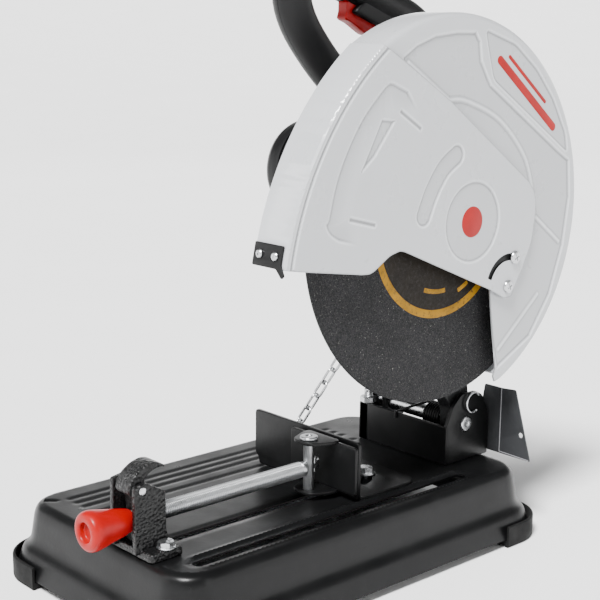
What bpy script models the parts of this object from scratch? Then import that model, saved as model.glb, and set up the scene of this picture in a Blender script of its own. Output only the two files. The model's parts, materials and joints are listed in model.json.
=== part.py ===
"""Abrasive chop saw for 355 mm wheels, modelled as the separate pieces it comes apart into.

Metres, +Z up. +X is the side the wheel is on, -Y is the operator's side. Sizes below are given from the
middle of the base; the whole machine then moves by CENTRE_SHIFT, which puts the middle of its overall
footprint on the origin. Every moving body hangs from an empty on its joint's axis.
"""

from math import atan2, cos, hypot, pi, radians, sin

import bmesh
import bpy
from mathutils import Matrix, Vector

GAP = 0.0003

# Base
BASE_HALF = (0.146, 0.2415)
TABLE_Z = 0.072
FOOT_HALF = (0.149, 0.2445)
WHEEL_SLOT = (0.102, -0.194, 0.155, 0.0055)
CENTRE_SLOT = (0.046, -0.178, 0.010, 0.0045)

# Vise
SCREW_X, SCREW_Z, SCREW_R = 0.046, 0.102, 0.0080
JAW_PIN_Y = -0.010
HANDLE_END_Y = -0.266
LEVER_AXIS = (-0.219, 0.133)
FENCE_PIVOT = (0.030, 0.042)
FENCE_LOCK = (0.045, 0.070)
FENCE_TURN = radians(45)

# Head
PIVOT = (0.190, 0.112)
SPINDLE = (0.1076, 0.3382)
MOTOR = (0.123, 0.3706)
MOTOR_R = 0.052
BRUSH_X = -0.0845
WHEEL_X, WHEEL_R, WHEEL_THICK = 0.102, 0.1775, 0.0032
CASE = (0.1072, 0.3434)
CASE_R = 0.191
CASE_X = (0.078, 0.121)
COVER_PIVOT = (0.1869, 0.2677)
COVER_ARC_R = 0.3015
COVER_SLOT_R = 0.030
COVER_SLOT_START = radians(72.3)
COVER_SWING = radians(80)
COVER_ARC = (radians(170.3), radians(127.8))
PINION_TEETH, GEAR_TEETH = 9, 36
GRIP_R = 0.0185
HEAD_TRAVEL = radians(38)
HUB_WINDOW = (-0.031, 0.048)
STOP_BOLT, STOP_BOLT_R, STOP_TOP = (-0.047, 0.165), 0.005, 0.130

# Chain
CHAIN_FOOT = (-0.074, 0.065, 0.0765)
CHAIN_HEAD = (-0.030, 0.140, 0.215)

CENTRE_SHIFT = -(CASE[0] + CASE_R + HANDLE_END_Y) / 2
CIRCLE = 2 * pi

COLOURS = {  # red, green, blue, metallic, roughness
    "white_paint": (0.82, 0.83, 0.84, 0.0, 0.3),
    "black_paint": (0.035, 0.036, 0.038, 0.0, 0.4),
    "cast_black": (0.03, 0.03, 0.032, 0.2, 0.6),
    "cast_aluminium": (0.32, 0.33, 0.34, 0.9, 0.5),
    "black_plastic": (0.04, 0.04, 0.042, 0.0, 0.5),
    "red_plastic": (0.75, 0.02, 0.02, 0.0, 0.3),
    "rubber": (0.02, 0.02, 0.02, 0.0, 0.8),
    "zinc_steel": (0.72, 0.73, 0.74, 1.0, 0.3),
    "steel": (0.5, 0.5, 0.52, 1.0, 0.35),
    "abrasive": (0.09, 0.09, 0.095, 0.0, 0.9),
    "copper": (0.7, 0.35, 0.18, 1.0, 0.4),
}


# ---------------------------------------------------------------- scene, bodies and materials


def clear_scene():
    for obj in list(bpy.data.objects):
        bpy.data.objects.remove(obj, do_unlink=True)


clear_scene()
PARTS = bpy.data.collections.new("abrasive_chop_saw")
CUTTERS = bpy.data.collections.new("cutters")
for new_collection in (PARTS, CUTTERS):
    bpy.context.scene.collection.children.link(new_collection)

PIVOTS = {}


def make_pivot(name, point=(0, 0, 0), parent=None):
    """An empty on a joint's axis. Pieces keep their own places when they hang from it."""
    empty = bpy.data.objects.new(name, None)
    PARTS.objects.link(empty)
    empty.location = point
    if parent:
        empty.parent = PIVOTS[parent][0]
        empty.matrix_parent_inverse = Matrix.Translation(-Vector(PIVOTS[parent][1]))
    PIVOTS[name] = (empty, point)


def make_pivots():
    make_pivot("base")
    PIVOTS["base"][0].location.y = CENTRE_SHIFT
    make_pivot("head", (0, *PIVOT), "base")
    make_pivot("cover", (CASE_X[1], *COVER_PIVOT), "head")
    make_pivot("spindle_group", (WHEEL_X, *SPINDLE), "head")
    make_pivot("armature_group", (0, *MOTOR), "head")
    make_pivot("trigger_group", (0, 0.0745, 0.5425), "head")
    make_pivot("lock_group", (0.072, 0.060, SPINDLE[1]), "head")
    make_pivot("chain_top_group", CHAIN_HEAD, "head")
    make_pivot("chain_foot_group", CHAIN_FOOT, "base")
    make_pivot("stop_group", (*STOP_BOLT, STOP_TOP), "base")
    make_pivot("fence_group", (*FENCE_PIVOT, TABLE_Z), "base")
    make_pivot("lever_group", (SCREW_X, *LEVER_AXIS), "base")
    make_pivot("slide_group", (SCREW_X, JAW_PIN_Y, SCREW_Z), "base")
    make_pivot("screw_group", (SCREW_X, JAW_PIN_Y, SCREW_Z), "slide_group")
    make_pivot("jaw_group", (SCREW_X, JAW_PIN_Y, SCREW_Z), "slide_group")


def make_material(name):
    red, green, blue, metallic, roughness = COLOURS[name]
    material = bpy.data.materials.new(name)
    material.use_nodes = True
    shader = material.node_tree.nodes["Principled BSDF"]
    shader.inputs["Base Color"].default_value = (red, green, blue, 1)
    shader.inputs["Metallic"].default_value = metallic
    shader.inputs["Roughness"].default_value = roughness
    material.diffuse_color = (red, green, blue, 1)
    return material


MATERIALS = {name: make_material(name) for name in COLOURS}


def add_object(name, data, location=(0, 0, 0), rotation=(0, 0, 0)):
    """A new object in the cutters' collection; finish() moves the real pieces to the parts."""
    obj = bpy.data.objects.new(name, data)
    CUTTERS.objects.link(obj)
    obj.location = location
    obj.rotation_euler = rotation
    obj.hide_render = True
    obj.display_type = "WIRE"
    hang(obj, "base")
    return obj


def hang(obj, pivot):
    empty, point = PIVOTS[pivot]
    obj.parent = empty
    obj.matrix_parent_inverse = Matrix.Translation(-Vector(point))


def finish(obj, name, material, pivot="base", bevel=0.0):
    """Names a piece, gives it its material, hangs it from its body and shows it."""
    obj.name = name
    obj.data.name = name
    obj.data.materials.clear()
    obj.data.materials.append(MATERIALS[material])
    CUTTERS.objects.unlink(obj)
    PARTS.objects.link(obj)
    obj.hide_render = False
    obj.display_type = "TEXTURED"
    hang(obj, pivot)
    if bevel:
        rounding = obj.modifiers.new("rounding", "BEVEL")
        rounding.width = bevel
        rounding.segments = 1
        rounding.limit_method = "ANGLE"
        rounding.angle_limit = radians(50)
    obj.data.shade_smooth()
    obj.data.set_sharp_from_angle(angle=radians(35))
    return obj


# ---------------------------------------------------------------- shapes

PLATE_TURN = {"X": (pi / 2, 0, pi / 2), "Y": (pi / 2, 0, 0), "Z": (0, 0, 0)}
ROD_TURN = {"X": (0, pi / 2, 0), "Y": (-pi / 2, 0, 0), "Z": (0, 0, 0)}


def along(axis, value, across=(0, 0)):
    """The point at this value on an axis, with the other two coordinates in XYZ order."""
    first, second = across
    return {"X": (value, first, second), "Y": (first, value, second), "Z": (first, second, value)}[axis]


def arc(centre, radius, start, end, steps):
    """Points along an arc, both ends included, angles in radians."""
    return [
        (
            centre[0] + radius * cos(start + (end - start) * i / steps),
            centre[1] + radius * sin(start + (end - start) * i / steps),
        )
        for i in range(steps + 1)
    ]


def circle(centre, radius, steps=20):
    return arc(centre, radius, 0, CIRCLE, steps)[:-1]


def stadium(start, end, radius, steps=6):
    """The outline of a slot with round ends between two points."""
    heading = atan2(end[1] - start[1], end[0] - start[0])
    far = arc(end, radius, heading - pi / 2, heading + pi / 2, steps)
    return far + arc(start, radius, heading + pi / 2, heading + 3 * pi / 2, steps)


def rounded_rectangle(half_x, half_y, radius, steps=5):
    points = []
    for quarter in range(4):
        sign_x = 1 if quarter in (0, 3) else -1
        sign_y = 1 if quarter in (0, 1) else -1
        centre = (sign_x * (half_x - radius), sign_y * (half_y - radius))
        points += arc(centre, radius, quarter * pi / 2, (quarter + 1) * pi / 2, steps)
    return points


def to_mesh(obj):
    """Turns a curve, or an object with modifiers, into a plain mesh object in the same place."""
    bpy.context.view_layer.update()
    graph = bpy.context.evaluated_depsgraph_get()
    mesh = bpy.data.meshes.new_from_object(obj.evaluated_get(graph))
    cleaner = bmesh.new()
    cleaner.from_mesh(mesh)
    bmesh.ops.remove_doubles(cleaner, verts=cleaner.verts, dist=1e-6)
    bmesh.ops.recalc_face_normals(cleaner, faces=cleaner.faces)
    cleaner.to_mesh(mesh)
    cleaner.free()
    solid = add_object(obj.name, mesh, obj.location, obj.rotation_euler)
    bpy.data.objects.remove(obj)
    return solid


def plate(axis, low, high, outline, holes=()):
    """A flat plate: its outline lies across the axis, given as (y, z), (x, z) or (x, y)."""
    curve = bpy.data.curves.new("plate", "CURVE")
    curve.dimensions = "2D"
    curve.fill_mode = "BOTH"
    curve.extrude = (high - low) / 2
    for loop in (outline, *holes):
        spline = curve.splines.new("POLY")
        spline.points.add(len(loop) - 1)
        for point, (across, up) in zip(spline.points, loop):
            point.co = (across, up, 0, 1)
        spline.use_cyclic_u = True
    return to_mesh(add_object("plate", curve, along(axis, (low + high) / 2), PLATE_TURN[axis]))


def box(low, high):
    mesh = bpy.data.meshes.new("box")
    maker = bmesh.new()
    sides = [b - a for a, b in zip(low, high)]
    bmesh.ops.create_cube(maker, size=1, matrix=Matrix.Diagonal((*sides, 1)))
    maker.to_mesh(mesh)
    maker.free()
    return add_object("box", mesh, [(a + b) / 2 for a, b in zip(low, high)])


def rod(axis, low, high, centre, radius, sides=16, end_radius=None, turn=0.0):
    """A cylinder, cone or prism along an axis."""
    mesh = bpy.data.meshes.new("rod")
    maker = bmesh.new()
    bmesh.ops.create_cone(
        maker,
        cap_ends=True,
        segments=sides,
        radius1=radius,
        radius2=radius if end_radius is None else end_radius,
        depth=high - low,
        matrix=Matrix.Rotation(turn, 4, "Z"),
    )
    maker.to_mesh(mesh)
    maker.free()
    return add_object("rod", mesh, along(axis, (low + high) / 2, centre), ROD_TURN[axis])


def turned(axis, centre, profile, sides=24):
    """A turned shape. The profile's points are (radius, place along the axis)."""
    area = sum(a[0] * b[1] - b[0] * a[1] for a, b in zip(profile, profile[1:] + profile[:1]))
    points = profile if area < 0 else profile[::-1]
    closed = min(radius for radius, _ in points) > 0
    if not closed:
        turn = next(i for i, p in enumerate(points) if p[0] == 0 and points[i - 1][0] == 0)
        points = points[turn:] + points[:turn]
    mesh = bpy.data.meshes.new("turned")
    edges = [(i, i + 1) for i in range(len(points) - 1)] + ([(len(points) - 1, 0)] if closed else [])
    mesh.from_pydata([(radius, 0, place) for radius, place in points], edges, [])
    obj = add_object("turned", mesh, along(axis, 0, centre), ROD_TURN[axis])
    screw = obj.modifiers.new("turn", "SCREW")
    screw.steps = screw.render_steps = sides
    screw.use_merge_vertices = True
    screw.merge_threshold = 1e-5
    return to_mesh(obj)


def wire(points, radius, resolution=2, cyclic=False):
    """A round wire or bar along a line of points."""
    curve = bpy.data.curves.new("wire", "CURVE")
    curve.dimensions = "3D"
    curve.bevel_depth = radius
    curve.bevel_resolution = resolution
    curve.use_fill_caps = not cyclic
    spline = curve.splines.new("POLY")
    spline.points.add(len(points) - 1)
    for point, place in zip(spline.points, points):
        point.co = (*place, 1)
    spline.use_cyclic_u = cyclic
    return to_mesh(add_object("wire", curve))


def loft(sections):
    """An open skin through outlines of equal length, each (outline, height), closed at the last one."""
    maker = bmesh.new()
    rings = [[maker.verts.new((*point, height)) for point in outline] for outline, height in sections]
    for lower, upper in zip(rings, rings[1:]):
        for i in range(len(lower)):
            j = (i + 1) % len(lower)
            maker.faces.new((lower[i], lower[j], upper[j], upper[i]))
    maker.faces.new(rings[-1])
    mesh = bpy.data.meshes.new("loft")
    maker.to_mesh(mesh)
    maker.free()
    return add_object("loft", mesh)


def combine(target, other, operation):
    modifier = target.modifiers.new(operation.lower(), "BOOLEAN")
    modifier.operation = operation
    modifier.object = other
    return target


def cut(target, *cutters):
    for cutter in cutters:
        combine(target, cutter, "DIFFERENCE")
    return target


def join(target, *others):
    for other in others:
        combine(target, other, "UNION")
    return target


def bolt(axis, head, tip, centre, head_r, shank_r, head_thick, sides=6, washer=None):
    """A bolt whose head starts at head and whose shank ends at tip; tip may lie on either side."""
    way = 1 if tip > head else -1
    under = head + way * head_thick
    body = rod(axis, *sorted((head, under)), centre, head_r, sides)
    join(body, rod(axis, *sorted((under - way * 0.0005, tip)), centre, shank_r, 12))
    if washer:
        radius, thick = washer
        join(body, rod(axis, *sorted((under - way * 0.0002, under + way * thick)), centre, radius, 20))
    return body


# ---------------------------------------------------------------- base


def make_base_pan():
    steps = (  # inset from the bottom edge, height, corner radius
        (0.0000, 0.008, 0.044),
        (0.0060, 0.028, 0.040),
        (0.0115, 0.034, 0.037),
        (0.0135, 0.038, 0.036),
        (0.0165, 0.062, 0.034),
        (0.0195, 0.0695, 0.032),
        (0.0245, TABLE_Z, 0.028),
    )
    sections = [
        (rounded_rectangle(BASE_HALF[0] - inset, BASE_HALF[1] - inset, radius), height)
        for inset, height, radius in steps
    ]
    pan = loft(sections)
    skin = pan.modifiers.new("sheet", "SOLIDIFY")
    skin.thickness = 0.003
    skin.offset = -1
    low, high = TABLE_Z - 0.010, TABLE_Z + 0.010
    for x, start, end, radius in (WHEEL_SLOT, CENTRE_SLOT):
        cut(pan, plate("Z", low, high, stadium((x, start + radius), (x, end - radius), radius)))
    holes = (
        [(0.0732, -0.201), (0.0188, -0.201)]
        + [FENCE_PIVOT, FENCE_LOCK]
        + [(0.0365, 0.110), (0.038, 0.146), (0.057, 0.105)]
    )
    for hole in holes:
        cut(pan, rod("Z", low, high, hole, 0.0044, 12))
    finish(pan, "base_pan", "black_paint")


def make_feet():
    arm = 0.070
    for front_rear, sign_y in (("front", -1), ("rear", 1)):
        for side, sign_x in (("left", -1), ("right", 1)):
            foot = plate("Z", 0, 0.0225, rounded_rectangle(*FOOT_HALF, 0.047))
            room = plate("Z", 0.0066, 0.03, rounded_rectangle(0.1464, 0.2419, 0.0444))
            corner_x = sorted((sign_x * 0.200, sign_x * (FOOT_HALF[0] - arm)))
            corner_y = sorted((sign_y * 0.300, sign_y * (FOOT_HALF[1] - arm)))
            corner = box((corner_x[0], corner_y[0], -0.01), (corner_x[1], corner_y[1], 0.04))
            inner_x = sorted((sign_x * (FOOT_HALF[0] - 0.016), -sign_x * 0.01))
            inner_y = sorted((sign_y * (FOOT_HALF[1] - 0.016), -sign_y * 0.01))
            inner = box((inner_x[0], inner_y[0], -0.01), (inner_x[1], inner_y[1], 0.04))
            combine(foot, corner, "INTERSECT")
            cut(foot, inner, room)
            finish(foot, f"foot_{front_rear}_{side}", "rubber")


def make_vise_bracket():
    floor = TABLE_Z + GAP
    foot = box((0.011, -0.222, floor), (0.081, -0.187, 0.080))
    outline = [(-0.227, 0.079), (-0.227, 0.1395), (-0.2135, 0.1395), (-0.194, 0.126)]
    outline += [(-0.194, 0.092), (-0.1885, 0.079)]
    for low, high in ((0.027, 0.032), (0.060, 0.065)):
        join(foot, plate("X", low, high, outline))
    join(foot, box((0.0315, -0.216, 0.0795), (0.0605, -0.198, SCREW_Z)))
    cut(foot, rod("Y", -0.24, -0.18, (SCREW_X, SCREW_Z), SCREW_R + 0.0006, 24))
    cut(foot, rod("X", 0.0, 0.1, LEVER_AXIS, 0.0033, 12))
    for x in (0.0188, 0.0732):
        cut(foot, rod("Z", 0.06, 0.09, (x, -0.201), 0.0044, 12))
    finish(foot, "vise_bracket", "cast_black")
    for side, x in (("left", 0.0188), ("right", 0.0732)):
        piece = bolt("Z", 0.0863, 0.055, (x, -0.201), 0.0075, 0.0040, 0.006)
        finish(piece, f"bracket_bolt_{side}", "zinc_steel")
    pin = bolt("X", 0.0678, 0.0250, LEVER_AXIS, 0.0045, 0.0029, 0.0022, 16)
    finish(pin, "nut_lever_pin", "zinc_steel")


def make_nut_lever():
    """The half nut and its thumb tab: it lies in the thread, and lifts to let the screw slide."""
    y, z = LEVER_AXIS
    low, high = 0.0355, 0.0565
    tab = [(y - 0.009, z - 0.004), (y - 0.008, z + 0.006), (y, z + 0.0135), (y + 0.010, z + 0.0185)]
    tab += [(y + 0.019, z + 0.0195), (y + 0.031, z + 0.013), (y + 0.022, z + 0.0105)]
    tab += [(y + 0.015, z + 0.005), (y + 0.011, z - 0.004), (y + 0.019, z - 0.012)]
    tab += [(y + 0.019, z - 0.028), (y + 0.003, z - 0.028), (y + 0.001, z - 0.010)]
    lever = plate("X", low, high, tab)
    cut(lever, rod("X", 0, 0.1, LEVER_AXIS, 0.0033, 12))
    cut(lever, rod("Y", -0.25, -0.15, (SCREW_X, SCREW_Z), SCREW_R + 0.0004, 24))
    finish(lever, "nut_lever", "cast_black", "lever_group")


def make_fence():
    floor = TABLE_Z + GAP
    outline = [(-0.066, 0.084), (-0.060, 0.080), (-0.060, floor), (0.087, floor)]
    outline += arc((0.0835, 0.1265), 0.0035, 0, pi / 2, 3) + arc((-0.0625, 0.1265), 0.0035, pi / 2, pi, 3)
    wall = plate("Y", 0.017, 0.021, outline)
    corner = 0.018
    foot = [(-0.025, 0.020), (0.087, 0.020), (0.090, 0.023)]
    foot += arc((0.090 - corner, 0.100 - corner), corner, 0, pi / 2, 5)
    foot += arc((-0.025 + corner, 0.100 - corner), corner, pi / 2, pi, 5)
    reach = hypot(FENCE_LOCK[0] - FENCE_PIVOT[0], FENCE_LOCK[1] - FENCE_PIVOT[1])
    start = atan2(FENCE_LOCK[1] - FENCE_PIVOT[1], FENCE_LOCK[0] - FENCE_PIVOT[0])
    slot = arc(FENCE_PIVOT, reach + 0.0052, start - FENCE_TURN - 0.17, start + 0.17, 10)
    slot += arc(FENCE_PIVOT, reach - 0.0052, start + 0.17, start - FENCE_TURN - 0.17, 10)
    join(wall, plate("Z", floor, floor + 0.004, foot, [circle(FENCE_PIVOT, 0.0043), slot]))
    finish(wall, "fence", "black_paint", "fence_group")
    top = floor + 0.004 + GAP
    for name, centre in (("fence_pivot_bolt", FENCE_PIVOT), ("fence_lock_bolt", FENCE_LOCK)):
        piece = bolt("Z", top + 0.0075, 0.060, centre, 0.0075, 0.0039, 0.0055, washer=(0.0095, 0.002))
        finish(piece, name, "zinc_steel")


def make_jaw():
    wall = plate("Y", 0.008, 0.0117, [(0.0, 0.080), (0.092, 0.080), (0.092, 0.128), (0.0, 0.128)])
    ear = [(0.024, 0.0115), (0.068, 0.0115), (0.068, 0.002), (0.060, -0.017), (0.054, -0.021)]
    ear += [(0.038, -0.021), (0.032, -0.017), (0.024, 0.002)]
    hole = circle((SCREW_X, JAW_PIN_Y), 0.0056)
    for low, high in ((0.0775, 0.0805), (0.1275, 0.1305)):
        join(wall, plate("Z", low, high, ear, [hole]))
    finish(wall, "vise_jaw", "black_paint", "jaw_group", 0.0006)
    pin = rod("Z", 0.0745, 0.1312, (SCREW_X, JAW_PIN_Y), 0.0052, 20)
    join(pin, rod("Z", 0.1308, 0.1338, (SCREW_X, JAW_PIN_Y), 0.0088, 20))
    cut(pin, rod("Y", -0.03, 0.01, (SCREW_X, SCREW_Z), 0.0029, 12))
    finish(pin, "jaw_pin", "zinc_steel", "slide_group")


def make_vise_screw():
    centre = (SCREW_X, SCREW_Z)
    shoulder = JAW_PIN_Y - 0.0056
    profile = [(0, -0.258), (0.0045, -0.258), (0.0045, -0.2186), (SCREW_R, -0.2186)]
    profile += [(SCREW_R, shoulder - 0.001), (SCREW_R - 0.001, shoulder), (0.0026, shoulder)]
    profile += [(0.0026, 0.001), (0, 0.001)]
    screw = turned("Y", centre, profile)
    cut(screw, rod("Z", 0.08, 0.12, (SCREW_X, -0.0025), 0.0012, 8))
    finish(screw, "vise_screw", "zinc_steel", "screw_group")
    hole = 0.0048
    profile = [(hole, -0.219), (0.0095, -0.219), (0.0102, -0.222), (0.0172, HANDLE_END_Y + 0.011)]
    profile += [(0.0180, HANDLE_END_Y + 0.006), (0.0165, HANDLE_END_Y + 0.0015)]
    profile += [(0.0135, HANDLE_END_Y), (0.0085, HANDLE_END_Y + 0.0005), (0.0078, HANDLE_END_Y + 0.0045)]
    profile += [(hole, HANDLE_END_Y + 0.0045)]
    finish(turned("Y", centre, profile, 32), "vise_handle", "red_plastic", "screw_group")
    eye = arc((-0.0001, SCREW_Z + 0.0065), 0.0024, pi, -pi + 0.75, 10)
    route = [(SCREW_X, -0.0025, SCREW_Z - 0.0062)]
    route += [(SCREW_X, y, z) for y, z in eye]
    finish(wire(route, 0.0008, 1), "cotter_pin", "zinc_steel", "screw_group")


def make_pivot_bracket():
    floor = TABLE_Z + GAP
    wall = box((-0.054, 0.158, floor), (0.074, 0.162, 0.114))
    round_top = arc(PIVOT, 0.024, radians(20), radians(125), 6)
    ear = [(0.158, floor), (0.226, floor), (0.226, 0.098)] + round_top + [(0.176, 0.114), (0.158, 0.114)]
    tall = [(0.158, floor), (0.226, floor), (0.226, 0.118), (0.214, 0.140), (0.203, 0.1455)]
    tall += [(0.181, 0.1455), (0.168, 0.134), (0.158, 0.114)]
    for low, high, shape in ((-0.054, -0.050, ear), (0.070, 0.074, tall)):
        join(wall, plate("X", low, high, shape, [circle(PIVOT, 0.0084, 16)]))
    join(wall, box((-0.054, 0.161, floor), (0.074, 0.222, floor + 0.004)))
    join(wall, box((-0.054, 0.1575, floor), (-0.040, 0.1725, 0.1140)))
    cut(wall, rod("Z", 0.0738, 0.130, STOP_BOLT, STOP_BOLT_R + GAP, 16))
    finish(wall, "pivot_bracket", "black_paint")
    profile = [(0, -0.062), (0.012, -0.062), (0.012, -0.0545), (0.008, -0.0545)]
    profile += [(0.008, 0.0748), (0, 0.0748)]
    finish(turned("X", PIVOT, profile, 20), "pivot_shaft", "zinc_steel")
    nut = rod("Z", 0.1145, 0.1205, STOP_BOLT, 0.0092, 6, turn=pi / 6)
    cut(nut, rod("Z", 0.10, 0.13, STOP_BOLT, STOP_BOLT_R + GAP, 16))
    finish(nut, "stop_nut", "zinc_steel")
    profile = [(0, 0.084), (STOP_BOLT_R, 0.084), (STOP_BOLT_R, STOP_TOP - 0.0015)]
    profile += [(STOP_BOLT_R - 0.0008, STOP_TOP), (0, STOP_TOP)]
    finish(turned("Z", STOP_BOLT, profile, 16), "stop_bolt", "zinc_steel", "stop_group")


def make_spark_guard():
    """The bent sheet behind the wheel, and the wire hook that locks the head down on its edge."""
    y = 0.2275
    wing = [(0.0885, 0.075), (0.130, 0.075), (0.1075, 0.149), (0.0885, 0.1475)]
    sheet = plate("Y", y, y + 0.0016, [(0.054, 0.075), (0.0895, 0.075), (0.0895, 0.1475), (0.066, 0.1475)])
    join(sheet, plate("Y", y, y + 0.0016, wing, [circle((0.1165, 0.1015), 0.0028, 10)]))
    join(sheet, box((0.056, 0.224 - 0.016, 0.0765), (0.068, y + 0.001, 0.078)))
    join(sheet, box((0.056, y, 0.0755), (0.130, y + 0.0016, 0.080)))
    finish(sheet, "spark_guard", "black_paint")
    hook = [(0.0775, 0.196 + dy, 0.135 + dz) for dy, dz in arc((0, 0), 0.0105, radians(40), radians(300), 14)]
    finish(wire(hook, 0.0011, 1), "lock_hook", "zinc_steel")


# ---------------------------------------------------------------- head


def arm_point(reach, front):
    """A point of the arm: its distance from the pivot towards the spindle, and out to the front."""
    way = atan2(SPINDLE[1] - PIVOT[1], SPINDLE[0] - PIVOT[0])
    y = PIVOT[0] + reach * cos(way) + front * cos(way + pi / 2)
    return (y, PIVOT[1] + reach * sin(way) + front * sin(way + pi / 2))


def make_gear_housing():
    """One casting: the hub on the pivot shaft, the arm, and the gear case, open towards the motor."""
    way = atan2(SPINDLE[1] - PIVOT[1], SPINDLE[0] - PIVOT[0])
    hub = arc(PIVOT, 0.016, way + pi / 2 + 0.3, way + 3 * pi / 2, 10)
    hub += [arm_point(0.045, -0.024), arm_point(0.070, -0.030), arm_point(0.070, 0.030)]
    hub += [arm_point(0.045, 0.016), arm_point(0.022, 0.0075)]
    casting = plate("X", -0.0377, 0.066, hub)
    beam = [arm_point(0.064, -0.029), arm_point(0.150, -0.038), arm_point(0.230, -0.044)]
    beam += [arm_point(0.230, 0.034), arm_point(0.150, 0.036), arm_point(0.064, 0.028)]
    join(casting, plate("X", -0.020, 0.050, beam))
    cut(casting, rod("X", -0.1, 0.0119, MOTOR, MOTOR_R + 0.0015, 40))
    join(casting, rod("X", 0.012, 0.0765, MOTOR, MOTOR_R, 40))
    join(casting, rod("X", 0.012, 0.0772, SPINDLE, 0.038, 32))
    cut(casting, rod("X", 0.0, 0.0700, MOTOR, MOTOR_R - 0.004, 40))
    cut(casting, rod("X", 0.0, 0.0700, SPINDLE, 0.0340, 32))
    cut(casting, rod("X", 0.0700 - 0.002, 0.0740, SPINDLE, 0.0163, 24))
    cut(casting, rod("X", 0.0700 - 0.002, 0.0900, SPINDLE, 0.0120, 24))
    cut(casting, rod("X", -0.1, 0.1, PIVOT, 0.0083, 20))
    window = [arm_point(reach, front) for reach, front in ((-0.03, -0.03), (0.041, -0.03))]
    window += [arm_point(reach, front) for reach, front in ((0.041, 0.05), (-0.03, 0.05))]
    cut(casting, plate("X", *HUB_WINDOW, window))
    back, down = cos(HEAD_TRAVEL), sin(HEAD_TRAVEL)  # the pad lies flat on the stop when the head is down
    corners = ((-0.034, 0.0183), (-0.019, 0.0183), (-0.019, 0.034), (-0.034, 0.034))
    pad = [(PIVOT[0] + y * back + z * down, PIVOT[1] - y * down + z * back) for y, z in corners]
    join(casting, plate("X", -0.054, -0.0305, pad))
    cut(casting, rod("Y", 0.0, 0.090, (0.0625, SPINDLE[1]), 0.0043, 12))
    finish(casting, "gear_housing", "cast_aluminium", "head")


def make_bearing_plate():
    """The plate between gear case and motor: it carries the armature's and the spindle's inner bearings."""
    outline = circle(MOTOR, MOTOR_R - 0.0043, 32)
    web = plate("X", 0.0240, 0.0275, outline)
    join(web, rod("X", 0.0240, 0.0360, SPINDLE, 0.0150, 24), rod("X", 0.0240, 0.0360, MOTOR, 0.0145, 24))
    cut(web, rod("X", 0.0265, 0.050, SPINDLE, 0.0113, 20), rod("X", 0.0265, 0.050, MOTOR, 0.0113, 20))
    cut(web, rod("X", 0.010, 0.050, MOTOR, 0.0062, 16))
    for angle in (radians(60), radians(120), radians(0), radians(180)):
        place = (MOTOR[0] + 0.034 * cos(angle), MOTOR[1] + 0.034 * sin(angle))
        cut(web, rod("X", 0.01, 0.05, place, 0.006, 10))
    finish(web, "bearing_plate", "cast_aluminium", "head")


def make_bearings():
    rings = (
        ("spindle_bearing_front", SPINDLE, 0.0640, 0.0738, 0.0083, 0.0160),
        ("spindle_bearing_rear", SPINDLE, 0.0268, 0.0348, 0.0048, 0.0110),
        ("armature_bearing_front", MOTOR, 0.0268, 0.0348, 0.0048, 0.0110),
        ("armature_bearing_rear", MOTOR, -0.1125, -0.1055, 0.0043, 0.0095),
    )
    for name, centre, low, high, bore, outer in rings:
        ring = turned("X", centre, [(bore, low), (outer, low), (outer, high), (bore, high)], 20)
        finish(ring, name, "steel", "head")


def gear_outline(centre, teeth, module, first, fill=0.36):
    """A toothed outline. The flanks are straight and a little slim, so a turning pair stays clear."""
    pitch = CIRCLE / teeth
    radius = module * teeth / 2
    flank = [(-0.30, -1.15), (-fill / 2, 0), (-0.09, 0.9)]  # share of the pitch, height in modules
    points = []
    for tooth in range(teeth):
        middle = first + tooth * pitch
        for half, reach in flank + [(-half, reach) for half, reach in flank[::-1]]:
            angle, out = middle + half * pitch, radius + reach * module
            points.append((centre[0] + out * cos(angle), centre[1] + out * sin(angle)))
    return points


def make_gears():
    distance = hypot(MOTOR[0] - SPINDLE[0], MOTOR[1] - SPINDLE[1])
    module = 2 * distance / (PINION_TEETH + GEAR_TEETH)
    line = atan2(MOTOR[1] - SPINDLE[1], MOTOR[0] - SPINDLE[0])
    wheel = gear_outline(SPINDLE, GEAR_TEETH, module, line)
    gear = plate("X", 0.0450, 0.0570, wheel, [circle(SPINDLE, 0.0083, 20)])
    finish(gear, "driven_gear", "steel", "spindle_group")
    pinion = gear_outline(MOTOR, PINION_TEETH, module, line + pi + pi / PINION_TEETH)
    profile = [(0, -0.1145), (0.0040, -0.1145), (0.0040, -0.1020), (0.0060, -0.1020)]
    profile += [(0.0060, -0.0930), (0.0130, -0.0930), (0.0130, -0.0760), (0.0060, -0.0760)]
    profile += [(0.0060, 0.0200), (0.0045, 0.0200), (0.0045, 0.0440), (0, 0.0440)]
    shaft = turned("X", MOTOR, profile, 20)
    join(shaft, plate("X", 0.0425, 0.0585, pinion))
    finish(shaft, "armature_shaft", "steel", "armature_group")
    core = turned("X", MOTOR, [(0.0063, -0.066), (0.0255, -0.062), (0.0255, -0.008), (0.0063, -0.004)], 24)
    finish(core, "armature_core", "copper", "armature_group")
    fan = plate("X", 0.0075, 0.0090, circle(MOTOR, 0.044, 32), [circle(MOTOR, 0.0063, 16)])
    for blade in range(9):
        angle = blade * CIRCLE / 9
        root = (MOTOR[0] + 0.014 * cos(angle), MOTOR[1] + 0.014 * sin(angle))
        tip = (MOTOR[0] + 0.042 * cos(angle + 0.35), MOTOR[1] + 0.042 * sin(angle + 0.35))
        join(fan, plate("X", 0.0085, 0.0170, stadium(root, tip, 0.0007, 1)))
    finish(fan, "cooling_fan", "black_plastic", "armature_group")


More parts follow.
